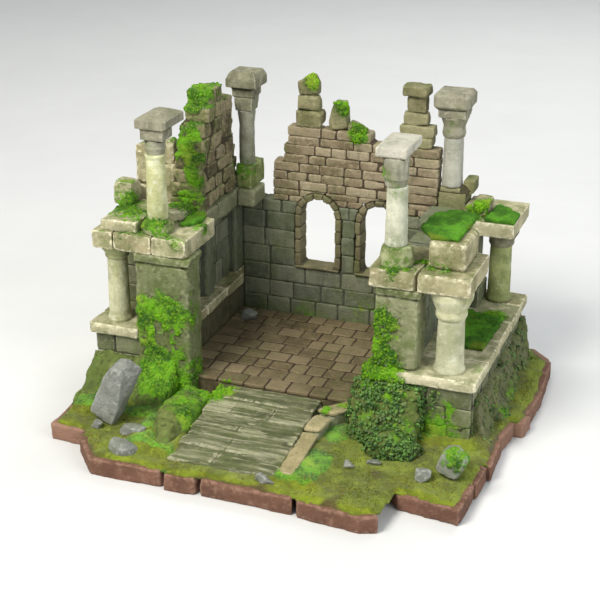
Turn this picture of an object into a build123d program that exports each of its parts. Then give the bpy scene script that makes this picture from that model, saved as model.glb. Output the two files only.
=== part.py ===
from build123d import *
import math
import os
import random

# A tabletop terrain ruin: a roofless hall on a turfed base of edge stones, with stairs up to a
# flagged floor, raised wings left and right, and columns at the corners. Millimetres, +Z up,
# +X to the right and +Y to the back as the stairs face the viewer. Each stone is a solid of its own.

# ---- levels ----------------------------------------------------------------------------------
BOARD_TOP = 8.0  # base board and edge stones
TURF_TOP = 9.0
BED_TOP = 16.4  # mortar bed under the hall floor
FLOOR_TOP = 18.4
WING_WALL_TOP = 35.0  # podium of each wing, below its cap
WING_TOP = 40.0
SLAB_BOTTOM = 78.0  # storey slabs on the lower columns
SLAB_TOP = 86.4
STEP_TOP = 91.4  # second course on the left slab
REAR_SLAB_BOTTOM = 77.2
SILL_BOTTOM = 43.8
SILL_TOP = 45.2
ARCH_SPRING = 71.7
SPANDREL_TOP = 84.4
BRICK_COURSES = 7
BRICK_RISE = 4.57
BRICKS_TOP = SPANDREL_TOP + BRICK_COURSES * BRICK_RISE

# ---- plan ------------------------------------------------------------------------------------
PLAN_MIDDLE_Y = 4.0  # the plan below is drawn from the stair side, and saved about its middle
HALL_LEFT, HALL_RIGHT = -60.0, 36.0
HALL_FRONT, HALL_BACK = -12.0, 71.0
BACK_WALL = (71.0, 79.5)
LEFT_WING = (-98.0, -60.0)
RIGHT_WING = (36.0, 82.0)
WING_FRONT, WING_BACK = -17.0, 84.0
CAP_LIP = 2.0
LEFT_PIER = (-75.0, -49.0, -18.5, -4.0)
RIGHT_PIER = (38.0, 57.0, -17.0, -2.0)
LEFT_WALL = (-74.0, -63.0)
RIGHT_WALL = (40.0, 54.0)
WINDOW_CENTRES = (-19.6, 11.8)
WINDOW_HALF = 8.9
SURROUND = 3.2  # width of the jamb stones and of the arch ring
RIM_INNER = 0.9  # inner edge of the rim stones, as a share of the outline
JOINT = 0.5  # gap between two stones of a course
STAIR_FRONT = -73.0
TREADS = 5
PIN_RADIUS = 0.8
PIN_DEPTH = 4.0
ASHLAR_DEPTH = 3.0


# ---- shapes ----------------------------------------------------------------------------------
def block(x0, x1, y0, y1, z0, z1):
    middle = Pos((x0 + x1) / 2, (y0 + y1) / 2, (z0 + z1) / 2)
    return middle * Box(x1 - x0, y1 - y0, z1 - z0)


def dressed(x0, x1, y0, y1, z0, z1, edge=0.8):
    """A squared stone with its edges taken off."""
    stone = block(x0, x1, y0, y1, z0, z1)
    return chamfer(stone.edges(), edge)


def prism(points, z0, z1):
    return Pos(0, 0, z0) * extrude(Polygon(*points, align=None), z1 - z0, dir=(0, 0, 1))


def side_profile(points, x0, x1):
    """An outline of (y, z) points, run from x0 to x1."""
    return Pos(x0, 0, 0) * extrude(Plane.YZ * Polygon(*points, align=None), x1 - x0, dir=(1, 0, 0))


def front_profile(points, y0, y1):
    """An outline of (x, z) points, run from y0 to y1."""
    return Pos(0, y0, 0) * extrude(Plane.XZ * Polygon(*points, align=None), y1 - y0, dir=(0, 1, 0))


def turned(centre, bottom, profile):
    """A round piece on the axis above centre; profile holds (radius, height above the last)."""
    outline = [(0, bottom)]
    z = bottom
    for radius, rise in profile:
        z += rise
        outline.append((radius, z))
    outline.append((0, z))
    shape = revolve(Plane.XZ * Polygon(*outline, align=None), Axis.Z)
    return Pos(centre[0], centre[1], 0) * shape


def square_stack(centre, bottom, profile):
    """A square piece made of tapering layers; profile holds (half width, height above the last)."""
    solids = []
    z = bottom
    half = profile[0][0]
    for next_half, rise in profile[1:]:
        low = Pos(0, 0, z) * Rectangle(2 * half, 2 * half)
        high = Pos(0, 0, z + rise) * Rectangle(2 * next_half, 2 * next_half)
        if rise > 0:
            solids.append(loft([low, high]))
        half = next_half
        z += rise
    body = solids[0]
    for solid in solids[1:]:
        body = body + solid
    return Pos(centre[0], centre[1], 0) * body


def rock(centre, size, tilt=0.0, seed=1, facets=9):
    """A faceted boulder: a block with its corners knocked off by planes at random angles."""
    rng = random.Random(seed)
    stone = Box(size[0], size[1], size[2])
    for _ in range(facets):
        turn = rng.uniform(0, 2 * math.pi)
        lift = rng.uniform(-0.2, 1.1)
        away = Vector(math.cos(turn) * math.cos(lift), math.sin(turn) * math.cos(lift), math.sin(lift))
        reach = (
            0.5 * math.sqrt((away.X * size[0]) ** 2 + (away.Y * size[1]) ** 2 + (away.Z * size[2]) ** 2)
            * rng.uniform(0.93, 1.06)
        )
        stone = split(stone, Plane(origin=away * reach, z_dir=away), keep=Keep.BOTTOM)
    stone = Rot(0, tilt, 0) * stone
    floor = stone.bounding_box().min.Z
    return Pos(centre[0], centre[1], centre[2] - floor) * stone


def coursed(start, end, bottom, heights, shortest, longest, rng):
    """The stones of a coursed wall, each as (start, end, bottom, top)."""
    z = bottom
    for height in heights:
        u = start
        while u < end - 0.01:
            stop = u + rng.uniform(shortest, longest)
            if end - stop < shortest:
                stop = end
            yield u, stop, z, z + height
            u = stop
        z += height


def stones_along_x(span, depth, bottom, heights, lengths, rng):
    return [
        block(u0 + JOINT / 2, u1 - JOINT / 2, depth[0], depth[1], z0, z1)
        for u0, u1, z0, z1 in coursed(span[0], span[1], bottom, heights, lengths[0], lengths[1], rng)
    ]


def stones_along_y(span, depth, bottom, heights, lengths, rng):
    return [
        block(depth[0], depth[1], u0 + JOINT / 2, u1 - JOINT / 2, z0, z1)
        for u0, u1, z0, z1 in coursed(span[0], span[1], bottom, heights, lengths[0], lengths[1], rng)
    ]


def save(name, pieces):
    """One STEP file: each piece stays a separate solid of its node."""
    solids = []
    for piece in pieces:
        solids.extend((Pos(0, -PLAN_MIDDLE_Y, 0) * piece).solids())
    export_step(Compound(solids), f"parts/{name}.step")


# ---- base ------------------------------------------------------------------------------------
# Outer corners of the edge stones, stone by stone, going round from the left rear corner.
RIM = {
    "left_edge_stones": [
        [(-98.5, 92.5), (-100, 66)],
        [(-98.8, 66), (-99.5, 34)],
        [(-101, 34), (-100.6, 12)],
        [(-99.6, 12), (-100, -24)],
        [(-101, -24), (-99.7, -60.3), (-83, -61)],
    ],
    "front_edge_stones": [
        [(-81.7, -66), (-68.2, -82.2), (-35, -81.8)],
        [(-33.5, -83), (-18.6, -82.6)],
        [(-16.9, -82.4), (25.4, -82.8)],
        [(27, -84), (54.4, -86.6), (62.4, -83.6)],
        [(64.3, -64.5), (91, -67.6), (92, -46)],
    ],
    "right_edge_stones": [
        [(92.4, -46), (93.2, -29.5)],
        [(94.6, -29.5), (93.6, -3)],
        [(92.9, -3), (95.4, 14)],
        [(99.4, 14), (100.6, 24)],
        [(99.6, 24), (101, 50)],
        [(100.6, 50), (98.5, 82.9)],
    ],
    "rear_edge_stones": [
        [(97.5, 83.5), (88, 93.6), (62, 94.6)],
        [(61.5, 93.8), (30, 94.2)],
        [(29.5, 93), (4, 93.4)],
        [(3, 94.2), (-34, 94.6)],
        [(-35, 93.4), (-62, 94)],
        [(-63, 94.6), (-98.5, 92.5)],
    ],
}


def rim_point(point, share):
    return (point[0] * share, point[1] * share)


def rim_stone(corners):
    """One edge stone: its outer corners, and the same corners drawn in towards the middle."""
    first, last = Vector(*corners[0]), Vector(*corners[-1])
    along = (last - first).normalized() * (JOINT / 2)
    start, end = first + along, last - along
    outer = [(start.X, start.Y)] + corners[1:-1] + [(end.X, end.Y)]
    inner = [rim_point(point, RIM_INNER) for point in reversed(outer)]
    return prism(outer + inner, 0, BOARD_TOP)


def base_outline(share):
    return [rim_point(point, share) for stones in RIM.values() for stone in stones for point in stone]


def base_board():
    """The board inside the rim, cut to the backs of the edge stones."""
    stones = [rim_stone(corners) for group in RIM.values() for corners in group]
    return prism(base_outline(RIM_INNER), 0, BOARD_TOP) - stones


def turf():
    """A thin mat over the board and rim, open where foundations stand on the board."""
    mat = prism(base_outline(0.985), BOARD_TOP, TURF_TOP)
    for x0, x1, y0, y1 in (
        (LEFT_WING[0], RIGHT_WING[1], HALL_FRONT, WING_BACK),
        (LEFT_WING[0], LEFT_WING[1], WING_FRONT, HALL_FRONT),
        (LEFT_PIER[0], LEFT_PIER[1], LEFT_PIER[2], HALL_FRONT),
        (RIGHT_WING[0], RIGHT_WING[1], WING_FRONT, HALL_FRONT),
        (-36, 13, STAIR_FRONT, HALL_FRONT),
    ):
        mat = mat - block(x0, x1, y0, y1, BOARD_TOP, TURF_TOP)
    return mat


# ---- hall floor and stairs -------------------------------------------------------------------
def floor_bed():
    bed = block(HALL_LEFT, HALL_RIGHT, HALL_FRONT, HALL_BACK, BOARD_TOP, BED_TOP)
    return bed - pier_space(LEFT_PIER)


def flagstones():
    rng = random.Random(11)
    rows = 9
    depth = (HALL_BACK - HALL_FRONT) / rows
    gap = JOINT / 2
    pier = pier_space(LEFT_PIER)
    stones = []
    for row in range(rows):
        y = HALL_FRONT + row * depth
        for x0, x1, _, _ in coursed(HALL_LEFT, HALL_RIGHT, 0, [1], 7.5, 13.5, rng):
            stone = block(x0 + gap, x1 - gap, y + gap, y + depth - gap, BED_TOP, FLOOR_TOP)
            stones.append(stone if x0 > LEFT_PIER[1] or y > LEFT_PIER[3] else stone - pier)
    return stones


def stair_treads():
    """Treads stacked like a deck of slabs, each one set back from the one below."""
    rng = random.Random(5)
    rise = (FLOOR_TOP - BOARD_TOP) / (TREADS + 1)
    going = (HALL_FRONT - STAIR_FRONT) / TREADS
    stones = []
    for tread in range(TREADS):
        front = STAIR_FRONT + tread * going
        low = BOARD_TOP + tread * rise
        for x0, x1, _, _ in coursed(-36, 13, 0, [1], 13, 24, rng):
            stones.append(block(x0 + JOINT / 2, x1 - JOINT / 2, front, HALL_FRONT, low, low + rise))
    return stones


def cheek_wall():
    """The low wall right of the stairs: a straight front run and a curved mossy end."""
    front = [(-71.4, TURF_TOP), (-40.2, TURF_TOP), (-40.2, 13.5), (-71.4, 9.8)]
    straight = side_profile(front, 14.3, 20.9)
    curve = [
        prism([(14.3, -39.7), (20.9, -39.7), (22, -27.5), (15.2, -26.1)], TURF_TOP, 15.0),
        prism([(15.4, -25.4), (22.2, -26.8), (29, -19.5), (24.5, -14)], TURF_TOP, 17.3),
    ]
    return [straight] + curve


def cheek_coping():
    front = [(-71.4, 9.8), (-40.2, 13.5), (-40.2, 15.6), (-71.4, 12.2)]
    return [
        side_profile(front, 13.7, 20.9),
        prism([(13.8, -39.7), (21.5, -39.7), (22.7, -27.9), (14.6, -26.4)], 15.0, 17.3),
        prism([(14.7, -25.6), (22.8, -27.2), (30, -19), (24.6, -13)], 17.3, 19.4),
    ]


def stair_mound():
    outline = Polygon(
        (-52, -19), (-37, -19), (-36.5, -42), (-37, -68), (-46, -66), (-55, -46), align=None
    )
    return Pos(0, 0, TURF_TOP) * extrude(outline, 8, dir=(0, 0, 1), taper=22)


# ---- wings -----------------------------------------------------------------------------------
def left_core():
    core = block(LEFT_WING[0] + ASHLAR_DEPTH, LEFT_WING[1], WING_FRONT + ASHLAR_DEPTH,
                 WING_BACK - ASHLAR_DEPTH, BOARD_TOP, WING_WALL_TOP)
    return core - pier_space(LEFT_PIER)


def pier_space(pier):
    return block(pier[0], pier[1], pier[2] - 5, pier[3], 0, SLAB_BOTTOM)


def right_core():
    core = block(RIGHT_WING[0], RIGHT_WING[1] - ASHLAR_DEPTH, WING_FRONT + ASHLAR_DEPTH,
                 WING_BACK - ASHLAR_DEPTH, BOARD_TOP, WING_WALL_TOP)
    return core - block(RIGHT_WING[0], RIGHT_WALL[1], *BACK_WALL, BOARD_TOP, WING_WALL_TOP)


def facing_courses():
    return [(WING_WALL_TOP - BOARD_TOP) / 3] * 3


def left_ashlar():
    rng = random.Random(21)
    x0, x1 = LEFT_WING
    heights = facing_courses()
    front = stones_along_x((x0, LEFT_PIER[0]), (WING_FRONT, WING_FRONT + ASHLAR_DEPTH), BOARD_TOP, heights,
                           (9, 13), rng)
    side = stones_along_y((WING_FRONT + ASHLAR_DEPTH, WING_BACK - ASHLAR_DEPTH), (x0, x0 + ASHLAR_DEPTH),
                          BOARD_TOP, heights, (11, 17), rng)
    back_depth = (WING_BACK - ASHLAR_DEPTH, WING_BACK)
    back = stones_along_x((x0, x1), back_depth, BOARD_TOP, heights, (10, 15), rng)
    return front + side + back


def right_ashlar():
    rng = random.Random(22)
    x0, x1 = RIGHT_WING
    heights = facing_courses()
    front_depth = (WING_FRONT, WING_FRONT + ASHLAR_DEPTH)
    front = stones_along_x((x0, x1), front_depth, BOARD_TOP, heights, (10, 15), rng)
    side = stones_along_y((WING_FRONT + ASHLAR_DEPTH, WING_BACK - ASHLAR_DEPTH), (x1 - ASHLAR_DEPTH, x1),
                          BOARD_TOP, heights, (11, 17), rng)
    back_depth = (WING_BACK - ASHLAR_DEPTH, WING_BACK)
    back = stones_along_x((x0, x1), back_depth, BOARD_TOP, heights, (10, 15), rng)
    return front + side + back


def left_cap():
    """Cap slabs of the left wing; they end in the ledge along the hall."""
    x0, x1 = LEFT_WING[0] - CAP_LIP, LEFT_WING[1] + 4
    joints = [LEFT_PIER[3], 18, 41, 63, WING_BACK + CAP_LIP]
    slabs = [block(x0, LEFT_PIER[0], WING_FRONT - CAP_LIP, LEFT_PIER[3] - JOINT, WING_WALL_TOP, WING_TOP)]
    for y0, y1 in zip(joints, joints[1:]):
        inner = x1 if y1 < HALL_BACK else HALL_LEFT
        slabs.append(block(x0, inner, y0, y1 - JOINT, WING_WALL_TOP, WING_TOP))
    return slabs


def right_cap():
    x0, x1 = RIGHT_WING[0] - CAP_LIP, RIGHT_WING[1] + CAP_LIP
    joints = [WING_FRONT - CAP_LIP, 4, 27, 49, 70.5]
    slabs = [block(x0, x1, y0, y1 - JOINT, WING_WALL_TOP, WING_TOP) for y0, y1 in zip(joints, joints[1:])]
    slabs.append(block(RIGHT_WALL[1] + 0.5, x1, joints[-1], WING_BACK + CAP_LIP, WING_WALL_TOP, WING_TOP))
    return slabs


def left_bank():
    """Turf banked up against the left wing and its pier."""
    low = [(WING_FRONT, TURF_TOP), (WING_FRONT, 26), (-29, 15), (-43, TURF_TOP)]
    high = [(LEFT_PIER[2], TURF_TOP), (LEFT_PIER[2], 29), (-28, 18), (-41, TURF_TOP)]
    return [side_profile(low, -99.4, -75.2), side_profile(high, -75, -56)]


def right_rocks():
    """Rock face against the right wing, in wedges of uneven height and spread."""
    rng = random.Random(31)
    wedges = []
    y = -10.0
    while y < 78:
        length = rng.uniform(9, 15)
        stop = min(y + length, 80)
        spread = rng.uniform(5.5, 9.5)
        top = rng.uniform(24, 33)
        x = RIGHT_WING[1]
        shoulder = [(x + 3, top - 1.5), (x + 0.6 * spread, top - 9)]
        outline = [(x, TURF_TOP), (x, top)] + shoulder + [(x + spread, TURF_TOP)]
        wedges.append(front_profile(outline, y, stop - 0.3))
        y = stop
    return wedges


def ivy():
    """Ivy and bushes heaped against the right wing."""
    outline = [(WING_FRONT, TURF_TOP), (WING_FRONT, 34), (-21, 31), (-27, 18), (-31, TURF_TOP)]
    wing = side_profile(outline, 30, 60)
    bush = rock((53, -36.5, TURF_TOP), (20, 10, 9), 0, seed=41, facets=12)
    return [wing, bush]


# ---- piers, slabs and walls ------------------------------------------------------------------
def pier(bounds, bottom):
    """A square pier under its own projecting head course."""
    x0, x1, y0, y1 = bounds
    head = SLAB_BOTTOM - 4
    return [dressed(x0, x1, y0, y1, bottom, head), block(x0 - 1.2, x1 + 1.2, y0 - 1, y1, head, SLAB_BOTTOM)]


def left_slab():
    """Three front slabs; the outer one overhangs the lower column."""
    y0, y1 = -19.5, 14.0
    cuts = [-95.6, -85.2, -66.0, -49.0]
    slabs = [block(x0, x1 - JOINT, y0, y1, SLAB_BOTTOM, SLAB_TOP) for x0, x1 in zip(cuts, cuts[1:])]
    return drilled(slabs, LEFT_FRONT)


def left_slab_step():
    outline = [(-92.2, -17), (-74.4, -17), (-74.4, -3), (-60.5, 6), (-60.5, 15), (-92, 15)]
    return [prism(outline, SLAB_TOP, STEP_TOP)]


def left_cornice():
    """Cornice slabs over the left wing behind the front slabs, turning the rear corner."""
    cuts = [14.0, 33.5, 53.5, 80.0]
    slabs = []
    for y0, y1 in zip(cuts, cuts[1:]):
        slabs.append(block(-95.6, -56, y0 + JOINT, y1, SLAB_BOTTOM, SLAB_TOP))
    corner = block(-56, -47, 56, HALL_BACK, SLAB_BOTTOM, SLAB_TOP)
    return slabs + drilled([corner], LEFT_REAR)


def left_outer_wall():
    rng = random.Random(61)
    heights = [9.5] * 4
    return stones_along_y((10, 79.5), (-95, LEFT_WALL[0]), WING_TOP, heights, (9, 16), rng)


def left_hall_wall():
    """Recessed panels of rough stone between two pilasters."""
    rng = random.Random(62)
    heights = [11.5, 8.5, 10, 8]
    panels = stones_along_y((LEFT_PIER[3], 27), LEFT_WALL, WING_TOP, heights, (8, 14), rng)
    panels += stones_along_y((35, 62), LEFT_WALL, WING_TOP, heights, (8, 14), rng)
    pilasters = [
        block(LEFT_WALL[0], HALL_LEFT, 27.3, 34.7, WING_TOP, SLAB_BOTTOM),
        block(LEFT_WALL[0], HALL_LEFT, 62.3, BACK_WALL[1], WING_TOP, SLAB_BOTTOM),
    ]
    return panels + pilasters


def left_ruined_wall():
    """The rubble wall above the left cornice, leaning back at its broken front end."""
    rng = random.Random(63)
    courses = 8
    rise = (141 - SLAB_TOP) / courses
    stones = []
    for course in range(courses):
        z = SLAB_TOP + course * rise
        share = course / (courses - 1)
        front = 17 + 13 * share ** 2
        back = 57 - 2 * share
        if course == courses - 1:
            back = 45
        for y0, y1, _, _ in coursed(front, back, 0, [1], 6.5, 13, rng):
            outer = -74 + 5 * share
            inner = -57 - 1.2 * rng.random()
            stones.append(block(outer, inner, y0 + JOINT / 2, y1 - JOINT / 2, z, z + rise))
        if course < courses - 2:
            stones.append(block(outer + 1, -60.2, back + JOINT, 67.5 - 1.2 * course, z, z + rise))
    return stones


def left_broken_stones():
    """Stumps and fallen blocks on the left slab."""
    return [
        block(-95.6, -86.5, 4, 14, STEP_TOP, 102),
        block(-93, -82.5, 16.5, 26, SLAB_TOP, 97.5),
        block(-90.4, -83.4, 17, 25, 97.5, 116.5),
        block(-80.8, -74.3, 24, 33, SLAB_TOP, 106),
        block(-79.8, -74.8, 25, 32, 106, 117),
        block(-95, -80, 50, 66, SLAB_TOP, 95),
    ]


def right_slab():
    """The right front slab, cracked across above the lower column."""
    y0, y1 = -19.0, 14.0
    left = prism([(35.4, y0), (55.6, y0), (58.6, y1), (35.4, y1)], SLAB_BOTTOM, SLAB_TOP)
    right = prism([(56.2, y0), (79.4, y0), (79.4, y1), (59.2, y1)], SLAB_BOTTOM, SLAB_TOP)
    return drilled([left, right], RIGHT_FRONT)


def right_hall_wall():
    rng = random.Random(64)
    stones = stones_along_y((RIGHT_PIER[3], HALL_BACK), RIGHT_WALL, WING_TOP, [9.5] * 4, (9, 16), rng)
    stones += stones_along_y((14.5, 66), RIGHT_WALL, SLAB_BOTTOM, [5.5], (9, 14), rng)
    stones += stones_along_y((40, 62), (RIGHT_WALL[0], 52), SLAB_BOTTOM + 5.5, [5], (7, 11), rng)
    return stones


def terrace_block():
    """The big squared block on the right slab, and the flat stone that fell against it."""
    return [
        dressed(59.0, 75.2, -12, 12.5, SLAB_TOP, 98.6, edge=1.2),
        block(54.5, 66, 15, 27, 83.5, 92),
    ]


def right_rear_pier():
    return [
        block(54.5, 65, 60, 78, WING_TOP, 50),
        block(55.5, 62.5, 66, 77, 50, REAR_SLAB_BOTTOM),
    ]


def right_rear_slab():
    slab = block(55, 80.6, 58, 93, REAR_SLAB_BOTTOM, 84)
    blocks = [block(58, 65.5, 66, 82, 84, 90), block(55, 57.8, 66, 84, 84, 88)]
    return [slab] + blocks


# ---- back wall -------------------------------------------------------------------------------
def window_space(centre, half):
    """The open window, with its round head, through the whole wall."""
    y0, y1 = BACK_WALL[0] - 2, BACK_WALL[1] + 2
    opening = block(centre - half, centre + half, y0, y1, SILL_TOP, ARCH_SPRING)
    head = Pos(centre, (y0 + y1) / 2, ARCH_SPRING) * Rot(90, 0, 0) * Cylinder(half, y1 - y0)
    return opening + head


def clear_of_windows(stones):
    kept = []
    spaces = [window_space(centre, WINDOW_HALF + SURROUND) for centre in WINDOW_CENTRES]
    for stone in stones:
        cut = stone - spaces
        kept += [solid for solid in cut.solids() if solid.volume > 12]
    return kept


def back_wall_lower():
    rng = random.Random(71)
    depth = BACK_WALL
    right = RIGHT_WALL[1]
    below_heights = [(SILL_BOTTOM - BOARD_TOP) / 4] * 4
    below = stones_along_x((HALL_LEFT, right), depth, BOARD_TOP, below_heights, (12, 19), rng)
    beside = []
    edge = WINDOW_HALF + SURROUND
    a, b = WINDOW_CENTRES
    for start, end in ((HALL_LEFT, a - edge), (a + edge, b - edge), (b + edge, right)):
        heights = [(ARCH_SPRING - SILL_BOTTOM) / 3] * 3
        beside += stones_along_x((start, end), depth, SILL_BOTTOM, heights, (10, 17), rng)
    shoulder_heights = [SLAB_BOTTOM - ARCH_SPRING]
    shoulder = stones_along_x((HALL_LEFT, right), depth, ARCH_SPRING, shoulder_heights, (9, 15), rng)
    return below + beside + clear_of_windows(shoulder)


def back_wall_bricks():
    """Thin tan courses, stepping in at the left where the wall has fallen."""
    rng = random.Random(72)
    heights = [(SPANDREL_TOP - SLAB_BOTTOM) / 2] * 2
    spandrel = stones_along_x((-43.6, 40.7), BACK_WALL, SLAB_BOTTOM, heights, (8, 17), rng)
    bricks = clear_of_windows(spandrel)
    for course in range(BRICK_COURSES):
        z = SPANDREL_TOP + course * BRICK_RISE
        left = -43.6 if z < 98 else -38 if z < 107 else -35.8
        right = 40.7 if course < BRICK_COURSES - 1 else 7
        bricks += stones_along_x((left, right), BACK_WALL, z, [BRICK_RISE], (7, 18), rng)
    return bricks


def window_surrounds():
    """A sill, jamb stones on each side and a ring of wedge stones round each window."""
    half = WINDOW_HALF + SURROUND - 0.2
    stones = [
        block(centre - half, centre + half, BACK_WALL[0] - 1.4, BACK_WALL[1] + 1, SILL_BOTTOM, SILL_TOP)
        for centre in WINDOW_CENTRES
    ]
    jambs = 4
    wedges = 7
    y0, y1 = BACK_WALL[0] - 0.6, BACK_WALL[1] + 0.4
    rise = (ARCH_SPRING - SILL_TOP) / jambs
    for centre in WINDOW_CENTRES:
        for side in (-1, 1):
            inner = centre + side * WINDOW_HALF
            outer = centre + side * (WINDOW_HALF + SURROUND - 0.1)
            for jamb in range(jambs):
                z = SILL_TOP + jamb * rise
                stones.append(block(min(inner, outer), max(inner, outer), y0, y1, z, z + rise))
        for wedge in range(wedges):
            stones.append(voussoir(centre, wedge, wedges, y0, y1))
    return stones


def voussoir(centre, index, count, y0, y1):
    """One wedge stone of a round arch."""
    gap = 0.012
    first = math.pi * index / count + gap
    last = math.pi * (index + 1) / count - gap
    inner, outer = WINDOW_HALF, WINDOW_HALF + SURROUND - 0.1
    corners = [
        (centre + radius * math.cos(angle), ARCH_SPRING + radius * math.sin(angle))
        for radius, angle in ((inner, first), (outer, first), (outer, last), (inner, last))
    ]
    return front_profile(corners, y0, y1)


def back_wall_top():
    """Two broken stumps and a stacked pillar left standing on the wall head."""
    y0, y1 = BACK_WALL
    return [
        block(-31.4, -18.4, y0, y1, BRICKS_TOP, 124.5),
        block(-31.0, -19.8, y0 + 0.6, y1 - 0.6, 124.5, 132),
        front_profile([(-31, 132), (-20.8, 132), (-20.6, 137), (-23, 142), (-31.4, 138)], y0 + 1, y1 - 1),
        front_profile([(-16, BRICKS_TOP), (-5, BRICKS_TOP), (-6.6, 130), (-12.4, 130)], y0 + 0.5, y1 - 0.5),
        front_profile([(-4.8, BRICKS_TOP), (5, BRICKS_TOP), (3, 118), (-4.8, 122)], y0 + 0.5, y1 - 0.5),
        block(18, 36.5, y0, y1, BRICKS_TOP - BRICK_RISE, 117.2),
        block(20.5, 37.4, y0 + 0.3, y1 - 0.3, 117.2, 122.8),
        block(22.4, 34.4, y0 + 0.8, y1 - 0.8, 122.8, 129),
        block(23.6, 33.4, y0 + 1.2, y1 - 1.2, 129, 136.4),
        dressed(21.8, 34.2, y0 - 1, y1 + 0.8, 136.4, 142.4),
    ]


# ---- columns ---------------------------------------------------------------------------------
LEFT_LOWER = (-88.6, -9.0)
RIGHT_LOWER = (69.6, -9.0)
REAR_LOWER = (71.5, 75.8)
LEFT_FRONT = (-66.4, -10.0)
LEFT_REAR = (-54.0, 64.6)
RIGHT_FRONT = (45.2, -10.5)
REAR_COLUMN = (46.2, 75.2)


def hipped(x0, x1, y0, y1, bottom, edge, top, inset):
    """A cap slab with a straight edge and a low sloping top."""
    middle = ((x0 + x1) / 2, (y0 + y1) / 2)
    width, depth = x1 - x0, y1 - y0
    low = Pos(*middle, edge) * Rectangle(width, depth)
    high = Pos(*middle, top) * Rectangle(width - 2 * inset, depth - 2 * inset)
    return block(x0, x1, y0, y1, bottom, edge) + loft([low, high])


def drilled(solids, centre):
    """The solids with a hole for the pin of the column that stands on them at centre."""
    z = solids[0].bounding_box().max.Z
    hole = Pos(centre[0], centre[1], z - PIN_DEPTH / 2) * Cylinder(PIN_RADIUS + 0.05, PIN_DEPTH)
    return [solid - hole for solid in solids]


def lower_column(centre, radius, top_of_shaft, head_top):
    """A plain tapering shaft and a flared head under a storey slab."""
    shaft_height = top_of_shaft - WING_TOP
    shaft = turned(centre, WING_TOP, [(radius * 1.12, 0), (radius * 1.12, 1.6), (radius, 1.4),
                                      (radius * 0.93, shaft_height - 3)])
    rise = head_top - top_of_shaft
    flare = [(1, 0), (1.12, 0.14), (1.06, 0.16), (1.45, 0.4), (1.5, 0.3)]
    head = turned(centre, top_of_shaft, [(radius * width, rise * height) for width, height in flare])
    return [shaft], [head]


def pinned(solid, centre, bottom):
    """The solid with the upper half of its pin hole."""
    hole = Pos(centre[0], centre[1], bottom + PIN_DEPTH / 2) * Cylinder(PIN_RADIUS + 0.05, PIN_DEPTH)
    return solid - hole


def column_pins(feet):
    """A wire pin through the foot of each column that stands on a slab."""
    return [Pos(x, y, SLAB_TOP) * Cylinder(PIN_RADIUS, 2 * PIN_DEPTH - 0.4) for x, y in feet]


def left_front_column():
    c = LEFT_FRONT
    base = turned(c, SLAB_TOP, [(7.2, 0), (7.2, 2.4), (6.2, 1.2), (6.4, 1), (5, 1.6)])
    shaft = turned(c, 92.6, [(4.8, 0), (4.2, 28.4), (4.7, 0.4), (4.7, 1.2), (4.2, 0.4)])
    head = turned(c, 123.0, [(4.2, 0), (4.4, 2.4), (4.9, 0.6), (4.4, 0.8), (4.7, 3)])
    neck = block(-71.2, -60.2, -15, -4.6, 129.8, 135)
    cap = neck + hipped(-73.2, -58.8, -16, 4.6, 135, 139, 141.2, 5)
    return [pinned(base, c, SLAB_TOP)], [shaft], [head, cap]


def left_rear_column():
    c = LEFT_REAR
    base = block(-57.5, -49.6, 58.6, 76, SLAB_TOP, 97.6)
    shaft = turned(c, 97.6, [(3.9, 0), (3.7, 20), (4.5, 7)])
    head = square_stack(c, 124.6, [(4.2, 0), (4.9, 7)])
    neck = square_stack(c, 131.6, [(5.4, 0), (5.6, 5.2)])
    cap = square_stack(c, 136.8, [(7.8, 0), (7.8, 4.2), (6.4, 3)])
    return [pinned(base, c, SLAB_TOP)], [shaft], [head, neck, cap]


def right_front_column():
    c = RIGHT_FRONT
    base = turned(c, SLAB_TOP, [(7.2, 0), (7.2, 4.6), (6.6, 3.4), (5.8, 0.8)])
    shaft = turned((44.5, c[1]), 95.2, [(4.9, 0), (4.4, 26.2)])
    head = turned((43.8, c[1]), 121.4, [(4.6, 0), (4.9, 3), (5.6, 0.6), (5.4, 1.2), (5.1, 0.6), (5.6, 7.2)])
    cap = dressed(36, 49.6, -16, 8, 134, 138.4, edge=0.6)
    return [pinned(base, c, SLAB_TOP)], [shaft], [head, cap]


def right_rear_column():
    c = REAR_COLUMN
    foot = SLAB_BOTTOM
    base = [
        block(41, 54, HALL_BACK, 84, foot, 92),
        dressed(41.2, 51.4, 71.2, 80.4, 92, 94.6, edge=0.5),
        block(51.9, 57.3, 73, 83.6, 92, 98.4),
    ]
    shaft = turned(c, 94.6, [(5, 0), (4.6, 24)])
    head = turned(c, 118.6, [(5, 0), (5.6, 2), (5.1, 3.4), (6.4, 3.6), (7, 1)])
    neck = square_stack(c, 128.6, [(6.6, 0), (6.6, 4.2)])
    cap = dressed(c[0] - 8.6, c[0] + 8.6, c[1] - 8.4, c[1] + 8.4, 132.8, 140.6, edge=1.4)
    return base, [shaft], [head, neck, cap]


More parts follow.
